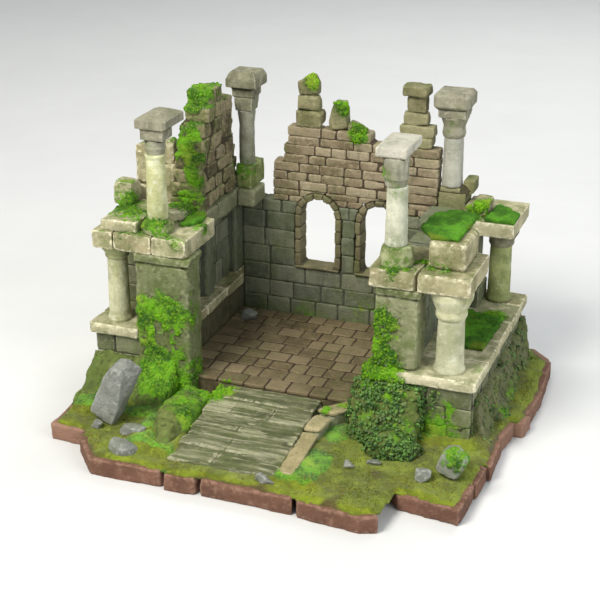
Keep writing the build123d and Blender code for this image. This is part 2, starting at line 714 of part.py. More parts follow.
# ---- loose stones and moss -------------------------------------------------------------------
def loose_rocks():
    ground = TURF_TOP
    return [
        rock((-70.2, -50.6, ground), (12.6, 11.6, 33), 24, seed=81, facets=14),
        rock((-76.4, -58.4, ground), (5.4, 4.5, 5.4), 0, seed=82),
        rock((-58, -57.8, ground), (14, 8, 4.6), 0, seed=83),
        rock((-55.7, -74, ground), (12.4, 8, 5), 0, seed=84),
        rock((10.6, -76.2, ground), (9.6, 4.6, 3.6), 0, seed=85),
        rock((38.7, -52, ground), (9, 5.6, 2.6), 0, seed=86),
        rock((48, -46.5, ground), (8, 4.4, 2.4), 0, seed=87),
        rock((71, -51.5, ground), (7.6, 6, 5.4), 0, seed=88),
        rock((82, -44, ground), (11, 12, 12), 20, seed=89),
        rock((-51, 57, FLOOR_TOP), (9, 7, 4.4), 0, seed=90),
        rock((-18, 88.5, ground), (11, 6, 4.6), 0, seed=91),
        rock((23, 87.5, ground), (8, 5, 3.4), 0, seed=92),
    ]


def moss_pads():
    """Flat cushions of moss on the slabs, the block and the terrace."""
    block_top = 98.6
    by_column = [(-60, -1.5), (-56.5, -1), (-52.6, 5), (-53, 13.4), (-56.4, 16.6), (-60, 16.6)]
    over_block = [(52, 1), (59.4, -10), (71, -8), (72.4, 25), (59, 25), (53.4, 17)]
    return [
        prism(by_column, SLAB_TOP, SLAB_TOP + 1.4),
        prism(over_block, block_top, block_top + 1.6),
        prism([(58.6, 16), (79, 13), (80, 50), (57, 54)], WING_TOP, WING_TOP + 1.4),
        prism([(66.4, 59), (80.6, 59), (80.6, 72), (68, 82), (66.4, 70)], 84, 85.4),
        prism([(-93, 34), (-78, 34), (-78, 49), (-93, 49)], SLAB_TOP, SLAB_TOP + 1.6),
    ]


# ---- write the parts -------------------------------------------------------------------------
def main():
    os.makedirs("parts", exist_ok=True)
    save("base_board", [base_board()])
    for name, stones in RIM.items():
        save(name, [rim_stone(corners) for corners in stones])
    save("turf_mat", [turf()])
    save("hall_floor_bed", [floor_bed()])
    save("hall_flagstones", flagstones())
    save("stair_treads", stair_treads())
    save("stair_mound", [stair_mound()])
    save("cheek_wall", cheek_wall())
    save("cheek_wall_coping", cheek_coping())
    save("left_podium_core", [left_core()])
    save("left_podium_ashlar", left_ashlar())
    save("left_podium_cap", left_cap())
    save("left_bank", left_bank())
    save("right_podium_core", [right_core()])
    save("right_podium_ashlar", right_ashlar())
    save("right_podium_cap", right_cap())
    save("right_rock_face", right_rocks())
    save("ivy_and_bush", ivy())
    save("left_front_pier", pier(LEFT_PIER, BOARD_TOP))
    save("right_front_pier", pier(RIGHT_PIER, WING_TOP))
    save("left_slab", left_slab())
    save("left_slab_step", left_slab_step())
    save("left_cornice", left_cornice())
    save("left_outer_wall", left_outer_wall())
    save("left_hall_wall", left_hall_wall())
    save("left_ruined_wall", left_ruined_wall())
    save("left_broken_stones", left_broken_stones())
    save("right_slab", right_slab())
    save("right_hall_wall", right_hall_wall())
    save("right_terrace_block", terrace_block())
    save("right_rear_pier", right_rear_pier())
    save("right_rear_slab", right_rear_slab())
    save("back_wall_lower", back_wall_lower())
    save("back_wall_bricks", back_wall_bricks())
    save("back_wall_top", back_wall_top())
    save("window_surrounds", window_surrounds())
    for name, parts in {
        "left_lower_column": lower_column(LEFT_LOWER, 5.0, 71, SLAB_BOTTOM),
        "right_lower_column": lower_column(RIGHT_LOWER, 6.2, 65, SLAB_BOTTOM),
        "rear_lower_column": lower_column(REAR_LOWER, 5.5, 68, REAR_SLAB_BOTTOM),
    }.items():
        save(f"{name}_shaft", parts[0])
        save(f"{name}_head", parts[1])
    for name, parts in {
        "left_front_column": left_front_column(),
        "left_rear_column": left_rear_column(),
        "right_front_column": right_front_column(),
        "right_rear_column": right_rear_column(),
    }.items():
        save(f"{name}_base", parts[0])
        save(f"{name}_shaft", parts[1])
        save(f"{name}_capital", parts[2])
    save("column_pins", column_pins([LEFT_FRONT, LEFT_REAR, RIGHT_FRONT]))
    save("loose_rocks", loose_rocks())
    save("moss_pads", moss_pads())


main()
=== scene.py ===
import itertools
import math

import bmesh
import bpy
import numpy as np
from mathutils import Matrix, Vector


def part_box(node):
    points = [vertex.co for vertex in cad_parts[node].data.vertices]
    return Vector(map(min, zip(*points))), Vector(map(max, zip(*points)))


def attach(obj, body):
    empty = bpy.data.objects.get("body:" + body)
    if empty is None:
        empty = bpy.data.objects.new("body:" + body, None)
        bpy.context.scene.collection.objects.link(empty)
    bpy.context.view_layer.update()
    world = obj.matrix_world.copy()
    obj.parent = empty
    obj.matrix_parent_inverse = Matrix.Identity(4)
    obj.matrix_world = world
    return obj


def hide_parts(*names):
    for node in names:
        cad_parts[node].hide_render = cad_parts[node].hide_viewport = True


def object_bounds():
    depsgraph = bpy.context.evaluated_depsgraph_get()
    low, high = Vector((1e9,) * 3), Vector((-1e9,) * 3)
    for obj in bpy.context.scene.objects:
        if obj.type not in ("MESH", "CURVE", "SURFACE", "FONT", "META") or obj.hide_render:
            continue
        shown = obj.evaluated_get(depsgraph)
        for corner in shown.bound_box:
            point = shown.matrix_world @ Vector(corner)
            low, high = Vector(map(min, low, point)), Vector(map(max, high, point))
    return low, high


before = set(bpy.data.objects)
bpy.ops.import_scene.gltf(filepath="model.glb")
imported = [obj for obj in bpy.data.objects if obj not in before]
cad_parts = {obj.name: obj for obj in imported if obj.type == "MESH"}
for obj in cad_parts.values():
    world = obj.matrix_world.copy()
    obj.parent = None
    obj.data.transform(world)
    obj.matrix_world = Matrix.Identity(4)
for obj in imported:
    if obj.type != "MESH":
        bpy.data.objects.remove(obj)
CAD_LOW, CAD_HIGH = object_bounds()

# Lengths are in millimetres until a mesh is made. Every piece rides on the one body, "root".
MM = 0.001
FINE = 1.0
GROUND = 9.0                         # the turf at the foot of the walls
BOX_LOW = np.array(CAD_LOW) / MM
BOX_HIGH = np.array(CAD_HIGH) / MM

FUSED_GROWTH = 2.5                   # earth and rock: solids grow by this much into one mass
JOINT_GROWTH = 0.9                   # mortar: stones grow by this much across their joints
JOINT_DEPTH = 0.45                   # mortar: then it is set back by at least this much
MOSS_RISE = 0.9                      # thick moss stands out this far from its stone
BLADES, TUFTS, LEAVES = 7000, 900, 3600
STONE_SEED, GRASS_SEED, TUFT_SEED, LEAF_SEED = 1000, 301, 311, 321


# ---- random fields ---------------------------------------------------------------------------
def field(points, size, seed):
    """Smooth random values from -1 to 1 that change over `size` millimetres."""
    cells = points / size + seed * 17.31
    low = np.floor(cells).astype(np.int64)
    part = cells - low
    part = part * part * (3 - 2 * part)
    total = np.zeros(len(points))
    for corner in itertools.product((0, 1), repeat=3):
        step = np.array(corner)
        key = (low + step) @ np.array([73856093, 19349663, 83492791]) + seed * 9176
        key = ((key ^ (key >> 13)) * 1274126177) & 0xFFFFFFFF
        key = (key ^ (key >> 16)) & 0xFFFF
        total += np.prod(np.where(step == 1, part, 1 - part), axis=1) * (key / 32767.5 - 1)
    return total


def rough(points, size, seed, octaves=3):
    """A field with finer fields added, each half as wide and half as strong."""
    shares = [0.5 ** octave for octave in range(octaves)]
    layers = [share * field(points, size * share, seed + octave)
              for octave, share in enumerate(shares)]
    return sum(layers) / sum(shares)


def ease(values, low, high):
    """0 below low, 1 above high and a smooth step between."""
    share = np.clip((values - low) / (high - low), 0, 1)
    return share * share * (3 - 2 * share)


def box(node):
    low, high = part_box(node)
    return np.array(low) / MM, np.array(high) / MM


def at(node, fractions):
    """The point at these fractions of a node's box."""
    low, high = box(node)
    return low + (high - low) * np.array(fractions)


# ---- surfaces --------------------------------------------------------------------------------
def read(mesh):
    """A mesh's points, and the point numbers of its triangles."""
    points = np.empty(len(mesh.vertices) * 3)
    mesh.vertices.foreach_get("co", points)
    mesh.calc_loop_triangles()
    corners = np.empty(len(mesh.loop_triangles) * 3, np.int32)
    mesh.loop_triangles.foreach_get("vertices", corners)
    return points.reshape(-1, 3), corners.reshape(-1, 3).astype(np.int64)


def solids_of(*nodes):
    """The separate closed solids of some CAD nodes, each as (points, triangles)."""
    solids = []
    for node in nodes:
        points, triangles = read(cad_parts[node].data)
        merged, place = np.unique(np.round(points / MM, 3), axis=0, return_inverse=True)
        shell, open_sides = [], set()
        for triangle in place.reshape(-1)[triangles].tolist():
            if len(set(triangle)) < 3:
                continue
            shell.append(triangle)
            for start, end in zip(triangle, triangle[1:] + triangle[:1]):
                if (end, start) in open_sides:
                    open_sides.remove((end, start))
                else:
                    open_sides.add((start, end))
            if not open_sides:
                used, local = np.unique(np.array(shell), return_inverse=True)
                solids.append((merged[used], local.reshape(-1, 3)))
                shell = []
    return solids


def fused(solids, grow):
    """The solids as one set of triangles, each solid larger by `grow` so that neighbours overlap."""
    points, triangles, start = [], [], 0
    for own, faces in solids:
        low, high = own.min(axis=0), own.max(axis=0)
        middle, size = (low + high) / 2, high - low
        points.append(middle + (own - middle) * (size + grow) / size)
        triangles.append(faces + start)
        start += len(own)
    return np.concatenate(points), np.concatenate(triangles)


class Skin:
    """A closed surface of small quads, with the number of the stone that each point is on."""

    def __init__(self, points, quads, owner):
        self.points, self.quads, self.owner = points, quads, owner
        pairs = np.concatenate([quads[:, [corner, (corner + 1) % 4]] for corner in range(4)])
        pairs.sort(axis=1)
        code = np.unique(pairs[:, 0] * len(points) + pairs[:, 1])
        self.sides = np.stack([code // len(points), code % len(points)], axis=1)
        self.degree = np.maximum(np.bincount(self.sides.ravel(), minlength=len(points)), 1)

    def relaxed(self, times, share=0.5):
        """The points after moving `times` times part of the way to the middle of their neighbours."""
        points = self.points
        for _ in range(times):
            total = np.zeros_like(points)
            for here, there in ((0, 1), (1, 0)):
                for axis in range(3):
                    weights = points[self.sides[:, there], axis]
                    total[:, axis] += np.bincount(self.sides[:, here], weights, len(points))
            points = points + share * (total / self.degree[:, None] - points)
        return points

    def normals(self):
        first, second, third, fourth = (self.points[self.quads[:, corner]] for corner in range(4))
        facing = np.cross(third - first, fourth - second)
        total = np.stack([
            np.bincount(self.quads.ravel(), np.repeat(facing[:, axis], 4), len(self.points))
            for axis in range(3)
        ], axis=1)
        return total / np.maximum(np.linalg.norm(total, axis=1), 1e-9)[:, None]


def remeshed(solids, voxel):
    """The solids as even quads. They are laid out in a row meanwhile, so that none grow together."""
    pitch = max(np.ptp(points[:, 0]) for points, _ in solids) + 6 * voxel
    starts = np.array([points[:, 0].min() for points, _ in solids])
    shifts = np.arange(len(solids)) * pitch + 2 * voxel - starts
    points, triangles, start = [], [], 0
    for (own, faces), shift in zip(solids, shifts):
        points.append(own + [shift, 0, 0])
        triangles.append(faces + start)
        start += len(own)
    skin_points, quads = voxels(np.concatenate(points), np.concatenate(triangles), voxel)
    owner = np.clip((skin_points[:, 0] / pitch).astype(int), 0, len(solids) - 1)
    skin_points[:, 0] -= shifts[owner]
    return Skin(skin_points, quads, owner)


def voxels(points, triangles, voxel):
    """Blender's voxel remesh of one mesh."""
    mesh = bpy.data.meshes.new("work")
    mesh.from_pydata(points.tolist(), [], triangles.tolist())
    work = bpy.data.objects.new("work", mesh)
    bpy.context.scene.collection.objects.link(work)
    even = work.modifiers.new("even", "REMESH")
    even.mode, even.voxel_size, even.adaptivity = "VOXEL", voxel, 0
    result = work.evaluated_get(bpy.context.evaluated_depsgraph_get()).data
    places = np.empty(len(result.vertices) * 3)
    result.vertices.foreach_get("co", places)
    quads = np.empty(len(result.loops), np.int32)
    result.loops.foreach_get("vertex_index", quads)
    bpy.data.objects.remove(work)
    bpy.data.meshes.remove(mesh)
    return places.reshape(-1, 3), quads.reshape(-1, 4).astype(np.int64)


def knock_off(skin, cuts, depth, rng):
    """Shaves corners off each stone with planes at random angles."""
    order = np.argsort(skin.owner, kind="stable")
    ends = np.searchsorted(skin.owner[order], np.arange(skin.owner.max() + 2))
    for first, last in zip(ends, ends[1:]):
        chosen = order[first:last]
        points = skin.points[chosen]
        if not len(points):
            continue
        for _ in range(cuts):
            away = rng.normal(size=3)
            away /= np.linalg.norm(away)
            reach = points @ away
            over = reach - reach.max() + depth * rng.uniform(0.2, 1.3)
            points = points - np.clip(over, 0, None)[:, None] * away
        skin.points[chosen] = points + rng.uniform(-0.15, 0.15, 3)


def wear(skin, style, seed):
    """Rounds, chips and roughens every stone of a skin."""
    rng = np.random.default_rng(seed)
    if style.cuts:
        knock_off(skin, style.cuts, style.depth, rng)
    crisp, soft = skin.points, skin.relaxed(style.rounding)
    share = np.clip(0.7 + 0.7 * rough(crisp, 8, seed), 0.2, 1)
    bitten = ease(rough(crisp, 3.2, seed + 7), 0.25, 0.6) * np.linalg.norm(soft - crisp, axis=1)
    skin.points = crisp + share[:, None] * (soft - crisp)
    normals = skin.normals()
    layered = skin.points * style.layers
    push = style.relief * rough(layered, 7, seed + 1)
    push += style.grain * rough(layered, 1.7, seed + 2, octaves=2)
    skin.points = skin.points + normals * (push - style.bite * bitten)[:, None]


def mortar(solids, voxel, inset):
    """One set-back body that fills the joints between the solids."""
    places, quads = voxels(*fused(solids, JOINT_GROWTH), voxel)
    skin = Skin(places, quads, np.zeros(len(places), int))
    skin.points = skin.relaxed(2)
    push = 0.25 * rough(skin.points, 2.5, seed=31) - inset - JOINT_DEPTH
    skin.points = skin.points + skin.normals() * push[:, None]
    return skin


# ---- pieces ----------------------------------------------------------------------------------
def new_piece(name, points, faces, material, nodes=(), values=None):
    """A piece from points in millimetres, faces of one size, and named values for each point."""
    points = np.clip(points, BOX_LOW + 0.05, BOX_HIGH - 0.05) * MM
    mesh = bpy.data.meshes.new(name)
    mesh.vertices.add(len(points))
    mesh.vertices.foreach_set("co", points.ravel())
    mesh.loops.add(faces.size)
    mesh.loops.foreach_set("vertex_index", faces.ravel().astype(np.int32))
    mesh.polygons.add(len(faces))
    loop_starts = np.arange(0, faces.size, faces.shape[1], dtype=np.int32)
    mesh.polygons.foreach_set("loop_start", loop_starts)
    mesh.polygons.foreach_set("use_smooth", np.ones(len(faces), bool))
    for key, numbers in (values or {}).items():
        attribute = mesh.attributes.new(key, "FLOAT", "POINT")
        attribute.data.foreach_set("value", numbers.astype(np.float32))
    mesh.update(calc_edges=True)
    mesh.materials.append(material)
    piece = bpy.data.objects.new(name, mesh)
    bpy.context.scene.collection.objects.link(piece)
    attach(piece, "root")
    if nodes:
        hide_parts(*nodes)
    return piece


def merged(skins):
    """Some skins' points and quads as one."""
    starts = np.cumsum([0] + [len(skin.points) for skin in skins])
    quads = np.concatenate([skin.quads + start for skin, start in zip(skins, starts)])
    return np.concatenate([skin.points for skin in skins]), quads


# ---- materials -------------------------------------------------------------------------------
def rgb(red, green, blue):
    """A screen colour as a linear one. None here is so dark that the formula needs its other half."""
    return tuple(((part / 255 + 0.055) / 1.055) ** 2.4 for part in (red, green, blue)) + (1,)


class Shade:
    """A procedural material, put together from noise, point values and mixes."""

    def __init__(self, name):
        self.material = bpy.data.materials.new(name)
        self.material.use_nodes = True
        self.tree = self.material.node_tree
        self.tree.nodes.clear()
        self.place = self.node("ShaderNodeTexCoord").outputs["Object"]

    def node(self, kind, inputs=None, **settings):
        """A new node. Each input is a number, a colour or another node's output."""
        node = self.tree.nodes.new(kind)
        for key, value in settings.items():
            setattr(node, key, value)
        for key, value in (inputs or {}).items():
            if isinstance(value, bpy.types.NodeSocket):
                self.tree.links.new(value, node.inputs[key])
            else:
                node.inputs[key].default_value = value
        return node

    def stretched(self, stretch):
        return self.node("ShaderNodeMapping", {"Vector": self.place, "Scale": stretch}).outputs[0]

    def noise(self, size, detail=4.0, roughness=0.6, stretch=None):
        """Noise that changes over `size` millimetres."""
        vector = self.stretched(stretch) if stretch else self.place
        sockets = {"Vector": vector, "Scale": 1 / (size * MM), "Detail": detail, "Roughness": roughness}
        return self.node("ShaderNodeTexNoise", sockets).outputs[0]

    def cells(self, size):
        """The distance to the edges of random cells, `size` millimetres wide."""
        sockets = {"Vector": self.place, "Scale": 1 / (size * MM)}
        return self.node("ShaderNodeTexVoronoi", sockets, feature="DISTANCE_TO_EDGE").outputs[0]

    def value(self, name):
        """A value that the piece's points carry."""
        return self.node("ShaderNodeAttribute", attribute_name=name).outputs["Fac"]

    def math(self, operation, first, second=0.0):
        return self.node("ShaderNodeMath", {0: first, 1: second}, operation=operation).outputs[0]

    def band(self, value, low, high, start=0.0, end=1.0):
        """Goes smoothly from start to end as the value goes from low to high."""
        sockets = {"Value": value, "From Min": low, "From Max": high, "To Min": start, "To Max": end}
        return self.node("ShaderNodeMapRange", sockets, interpolation_type="SMOOTHSTEP").outputs[0]

    def mix(self, share, first, second):
        node = self.node("ShaderNodeMix", data_type="RGBA")
        for socket, value in ((node.inputs[0], share), (node.inputs[6], first), (node.inputs[7], second)):
            if isinstance(value, bpy.types.NodeSocket):
                self.tree.links.new(value, socket)
            else:
                socket.default_value = value
        return node.outputs[2]

    def finish(self, colour, roughness, height, depth, specular=0.3, sheen=0.0):
        """Depth is how far the bump stands out, in millimetres."""
        sockets = {"Height": height, "Distance": depth * MM, "Strength": 1.0}
        bump = self.node("ShaderNodeBump", sockets).outputs[0]
        sockets = {"Base Color": colour, "Roughness": roughness, "Normal": bump}
        shader = self.node("ShaderNodeBsdfPrincipled", sockets)
        shader.inputs["Specular IOR Level"].default_value = specular
        shader.inputs["Sheen Weight"].default_value = sheen
        self.node("ShaderNodeOutputMaterial", {"Surface": shader.outputs[0]})
        return self.material

    def matt(self, low=0.85, size=1.2, high=1.0):
        """Roughness that wanders a little from place to place."""
        return self.band(self.noise(size, 2), 0.3, 0.7, low, high)


STAIN = rgb(98, 112, 54)
DRY_STREAK = rgb(74, 76, 58)
# Dark brown for hollows: partly dirt and partly painted shade.
SOIL_AND_HOLLOW_SHADE = rgb(58, 52, 38)


def moss_colour(shade):
    tone = shade.mix(shade.band(shade.noise(9, 3), 0.38, 0.62), rgb(50, 92, 24), rgb(98, 156, 26))
    tone = shade.mix(shade.band(shade.noise(1.1, 3), 0.45, 0.7, 0, 0.55), tone, rgb(150, 182, 52))
    tone = shade.mix(shade.band(shade.noise(17, 3), 0.52, 0.66, 0, 0.75), tone, rgb(146, 172, 54))
    return shade.mix(shade.band(shade.noise(2.6, 3), 0.55, 0.72, 0, 0.5), tone, rgb(40, 68, 20))


def stone(name, dark, middle, pale, edge=0.5, damp=0.6, streaks=0.35, strata=0.0):
    """Weathered stone in three colours of its own, which are given as screen colours.

    Pale edges, part wear and part painted highlight, green stains from the damp, dark streaks
    down its faces, or the layers of its strata show as strongly as the other numbers say. Dirt
    and painted shade in the hollows, mortar and moss lie over them.
    """
    dark, middle, pale = rgb(*dark), rgb(*middle), rgb(*pale)
    shade = Shade(name)
    colour = shade.mix(shade.band(shade.noise(11, 4), 0.36, 0.62), dark, middle)
    tint = shade.value("tint")
    colour = shade.mix(shade.band(tint, 0.35, 1, 0, 0.6), colour, pale)
    colour = shade.mix(shade.band(tint, 0, 0.3, 0.45, 0), colour, dark)
    colour = shade.mix(shade.band(shade.noise(3.4, 6, 0.7), 0.5, 0.72, 0, 0.55), colour, pale)
    colour = shade.mix(shade.band(shade.noise(0.8, 3), 0.55, 0.75, 0, 0.4), colour, dark)
    layers = shade.noise(3.2, 4, 0.6, (0.1, 1, 1))
    colour = shade.mix(shade.band(layers, 0.5, 0.62, 0, strata), colour, pale)
    colour = shade.mix(shade.band(layers, 0.4, 0.48, 0.8 * strata, 0), colour, dark)
    runs = shade.noise(4.2, 4, 0.6, (1, 1, 0.14))
    colour = shade.mix(shade.band(runs, 0.52, 0.7, 0, streaks), colour, DRY_STREAK)
    blotches = shade.band(shade.noise(6, 5, 0.65), 0.35, 0.6, 0.25, 1)
    wet = shade.math("MULTIPLY", shade.value("stain"), blotches)
    colour = shade.mix(shade.math("MULTIPLY", wet, damp), colour, STAIN)
    ridge = shade.value("ridge")
    # Pale ridges: partly wear and partly a painted highlight along every edge that sticks out, broken up
    # by noise.
    patchy_wear_and_highlight = shade.band(shade.noise(2.4, 4), 0.35, 0.6)
    worn = shade.math("MULTIPLY", shade.band(ridge, 0.15, 0.8, 0, edge), patchy_wear_and_highlight)
    colour = shade.mix(worn, colour, pale)
    # Hollows go darker towards this brown: painted shade, with some dirt.
    colour = shade.mix(shade.band(ridge, -0.7, -0.1, 0.65, 0), colour, SOIL_AND_HOLLOW_SHADE)
    bed = [tuple(share * part for part in dark[:3]) + (1,) for share in (0.3, 0.6)]
    colour = shade.mix(shade.value("mortar"), colour, shade.mix(shade.noise(3, 4), *bed))
    ragged = shade.band(shade.noise(1.8, 5, 0.7), 0.3, 0.7, -0.22, 0.22)
    mossy = shade.band(shade.math("ADD", shade.value("moss"), ragged), 0.3, 0.66)
    colour = shade.mix(mossy, colour, moss_colour(shade))
    pits = shade.band(shade.noise(1.2, 5, 0.75), 0.3, 0.7)
    grain = shade.noise(0.35, 3, 0.6)
    height = shade.math("ADD", shade.math("MULTIPLY", pits, 0.75), shade.math("MULTIPLY", grain, 0.3))
    roughness = shade.band(shade.noise(2.1, 4), 0.3, 0.7, 0.72, 0.95)
    return shade.finish(colour, roughness, height, 0.42, specular=0.25)


def moss_material(name):
    shade = Shade(name)
    colour = moss_colour(shade)
    colour = shade.mix(shade.band(shade.value("tint"), 0.2, 1, 0, 0.5), colour, rgb(128, 176, 40))
    cushions = shade.math("MULTIPLY", shade.cells(0.9), 0.8)
    height = shade.math("ADD", shade.noise(0.7, 4, 0.7), cushions)
    return shade.finish(colour, shade.matt(), height, 0.6, 0.08)


def moss_sheet(name):
    """Moss in flat dark cushions."""
    shade = Shade(name)
    colour = shade.mix(shade.band(shade.noise(12, 4), 0.4, 0.62), rgb(62, 104, 34), rgb(90, 146, 42))
    colour = shade.mix(shade.band(shade.noise(1.3, 4), 0.5, 0.7, 0, 0.6), colour, rgb(54, 84, 28))
    colour = shade.mix(shade.band(shade.noise(18, 2), 0.58, 0.7, 0, 0.7), colour, rgb(112, 124, 40))
    height = shade.math("ADD", shade.noise(0.7, 4, 0.7), shade.cells(1.1))
    return shade.finish(colour, shade.matt(), height, 0.6, 0.05)


def leaf_material(name):
    shade = Shade(name)
    colour = shade.mix(shade.value("tint"), rgb(40, 70, 30), rgb(98, 138, 58))
    colour = shade.mix(shade.band(shade.noise(6, 4), 0.52, 0.66, 0, 0.7), colour, rgb(110, 118, 78))
    colour = shade.mix(shade.band(shade.noise(7, 3), 0.6, 0.75, 0, 0.6), colour, rgb(150, 158, 60))
    return shade.finish(colour, shade.matt(0.45, 1, 0.7), shade.noise(0.4, 3), 0.15, 0.4)


def turf_material(name):
    shade = Shade(name)
    colour = shade.mix(shade.band(shade.noise(16, 4), 0.36, 0.64), rgb(90, 98, 26), rgb(124, 138, 32))
    colour = shade.mix(shade.band(shade.noise(5, 5, 0.7), 0.5, 0.66, 0, 0.7), colour, rgb(142, 154, 40))
    colour = shade.mix(shade.band(shade.noise(22, 4), 0.58, 0.72, 0, 0.5), colour, rgb(118, 104, 48))
    colour = shade.mix(shade.band(shade.noise(1.1, 4), 0.5, 0.75, 0, 0.35), colour, rgb(82, 96, 28))
    earth = shade.mix(shade.noise(4, 4), rgb(64, 66, 30), rgb(104, 88, 50))
    colour = shade.mix(shade.value("earth"), colour, earth)
    colour = shade.mix(shade.band(shade.value("moss"), 0.3, 0.7), colour, moss_colour(shade))
    height = shade.math("ADD", shade.noise(0.6, 4, 0.7), shade.noise(2.2, 4, 0.7))
    return shade.finish(colour, shade.matt(size=2), height, 0.7, 0.1, sheen=0.15)


def grass_material(name):
    shade = Shade(name)
    colour = shade.mix(shade.value("tint"), rgb(94, 106, 26), rgb(134, 148, 42))
    colour = shade.mix(shade.band(shade.noise(14, 3), 0.4, 0.65), colour, rgb(140, 128, 52))
    return shade.finish(colour, shade.matt(0.6, 1, 0.8), shade.noise(0.5, 2), 0.1, 0.2)


def plain_body(name, dark, pale):
    """A hidden or barely seen CAD body, such as the board under the turf."""
    shade = Shade(name)
    streaked = shade.noise(3, 5, 0.65, (1, 1, 0.4))
    colour = shade.mix(shade.band(streaked, 0.35, 0.65), rgb(*dark), rgb(*pale))
    roughness = shade.band(shade.noise(1.5, 3), 0.3, 0.7, 0.5, 0.8)
    return shade.finish(colour, roughness, shade.noise(0.6, 4), 0.2)


def steel_material(name):
    shade = Shade(name)
    brushed = shade.noise(0.3, 3, 0.5, (1, 1, 0.05))
    colour = shade.mix(brushed, rgb(120, 120, 122), rgb(190, 190, 188))
    material = shade.finish(colour, shade.band(brushed, 0.3, 0.7, 0.25, 0.45), brushed, 0.02)
    shader = next(node for node in shade.tree.nodes if node.type == "BSDF_PRINCIPLED")
    shader.inputs["Metallic"].default_value = 1.0
    return material


def floor_material(name):
    shade = Shade(name)
    colour = shade.mix(shade.noise(60, 3), rgb(205, 205, 203), rgb(214, 214, 212))
    return shade.finish(colour, shade.matt(0.7, 20, 0.8), shade.noise(2, 2), 0.01)


MOSS = moss_material("moss")
MOSS_SHEET = moss_sheet("moss_sheet")
LEAF = leaf_material("ivy_leaf")
TURF = turf_material("turf")
GRASS = grass_material("grass_blade")

WALL = stone("wall_stone", (92, 94, 74), (124, 126, 100), (172, 170, 140), streaks=0.45)
HALL = stone("hall_stone", (92, 96, 82), (118, 122, 104), (150, 150, 130), edge=0.3, streaks=0.4)
PIER = stone("pier_stone", (98, 102, 72), (128, 132, 98), (186, 184, 150), damp=0.8, streaks=0.4)
SLAB = stone("slab_stone", (156, 145, 112), (200, 189, 152), (242, 234, 202), edge=0.9, damp=0.7)
SURROUND = stone("surround_stone", (96, 86, 66), (126, 114, 90), (156, 144, 116), edge=0.4)
STUB = stone("stub_stone", (112, 106, 76), (146, 138, 104), (180, 172, 136))
BRICK = stone("brick", (118, 102, 80), (154, 138, 112), (188, 174, 146), damp=0.45)
RUBBLE = stone("rubble", (88, 78, 62), (124, 108, 86), (186, 170, 138), damp=0.8)
COPING = stone("coping", (132, 118, 80), (164, 148, 106), (200, 186, 146), damp=0.3)
BANK = stone("bank", (72, 86, 40), (100, 114, 54), (132, 140, 82), damp=0.8, streaks=0)
ROCK_FACE = stone("rock_face", (58, 62, 40), (88, 90, 60), (126, 124, 94), damp=0.7)
BOULDER = stone("boulder", (112, 114, 110), (142, 144, 138), (188, 187, 182), edge=0.6, damp=0.4,
                streaks=0.1)
EDGING = stone("edging", (108, 74, 60), (130, 92, 76), (168, 132, 112), edge=0.6, damp=0.12,
               streaks=0.1)
PAVING = stone("paving", (102, 86, 66), (130, 112, 88), (156, 138, 110), edge=0.35, damp=0.4,
               streaks=0)
STEPS = stone("steps", (78, 80, 58), (116, 116, 88), (184, 180, 150), edge=0.8, damp=0.45,
              streaks=0, strata=0.75)

# The columns' own stones: shafts, feet and capitals. The grey and dark capital stones are darker,
# greyer copies for the columns at the back, and their darkness is painted shade.
COLUMN = stone("column_stone", (172, 172, 128), (216, 214, 176), (242, 242, 228), damp=0.5,
               streaks=0.15)
PALE = stone("pale_stone", (196, 196, 140), (236, 236, 192), (250, 250, 236), damp=0.5,
             streaks=0.1)
SHADED_GREY = stone("grey_stone", (126, 124, 104), (168, 166, 148), (208, 206, 194), edge=0.8, damp=0.55)
FOOT = stone("column_foot", (128, 136, 84), (168, 174, 112), (214, 214, 176), edge=0.6, damp=0.9,
             streaks=0.1)
CAP = stone("cap_stone", (146, 144, 124), (180, 176, 156), (226, 220, 206), edge=1, damp=0.85)
MIDDLE_CAP = stone("middle_cap_stone", (126, 122, 102), (156, 152, 130), (206, 200, 180), edge=1,
                   damp=0.85)
SHADED_DARK_CAP = stone("dark_cap_stone", (108, 106, 84), (142, 140, 114), (190, 186, 164), edge=0.9,
                 damp=0.4)


# ---- styles of stonework ---------------------------------------------------------------------
class Style:
    """How a kind of stonework is worn, and how readily moss and stains take to it.

    voxel, rounding: the size of its quads, and how often they are relaxed to round the edges.
    relief, grain: the height of its broad and its fine unevenness, stretched by `layers`.
    cuts, depth, bite: corners knocked off each stone, how deep, and how deep its edges chip.
    top, foot, stain, front: more moss on top and near the ground, more stain, less in front.
    joints, inset, mortar: whether joints are filled, how far back, and how dark.
    fuse: its solids become one mass.
    """

    def __init__(self, voxel=0.8, rounding=2, relief=0.25, grain=0.14, layers=(1, 1, 1),
                 cuts=3, depth=0.5, bite=0.9, top=0.2, foot=0.45, stain=0.5, front=0.0,
                 joints=True, inset=0.35, mortar=1.0, fuse=False):
        self.voxel, self.rounding = voxel, rounding
        self.relief, self.grain, self.layers = relief, grain, layers
        self.cuts, self.depth, self.bite = cuts, depth, bite
        self.top, self.foot, self.stain, self.front = top, foot, stain, front
        self.joints, self.inset, self.mortar, self.fuse = joints, inset, mortar, fuse


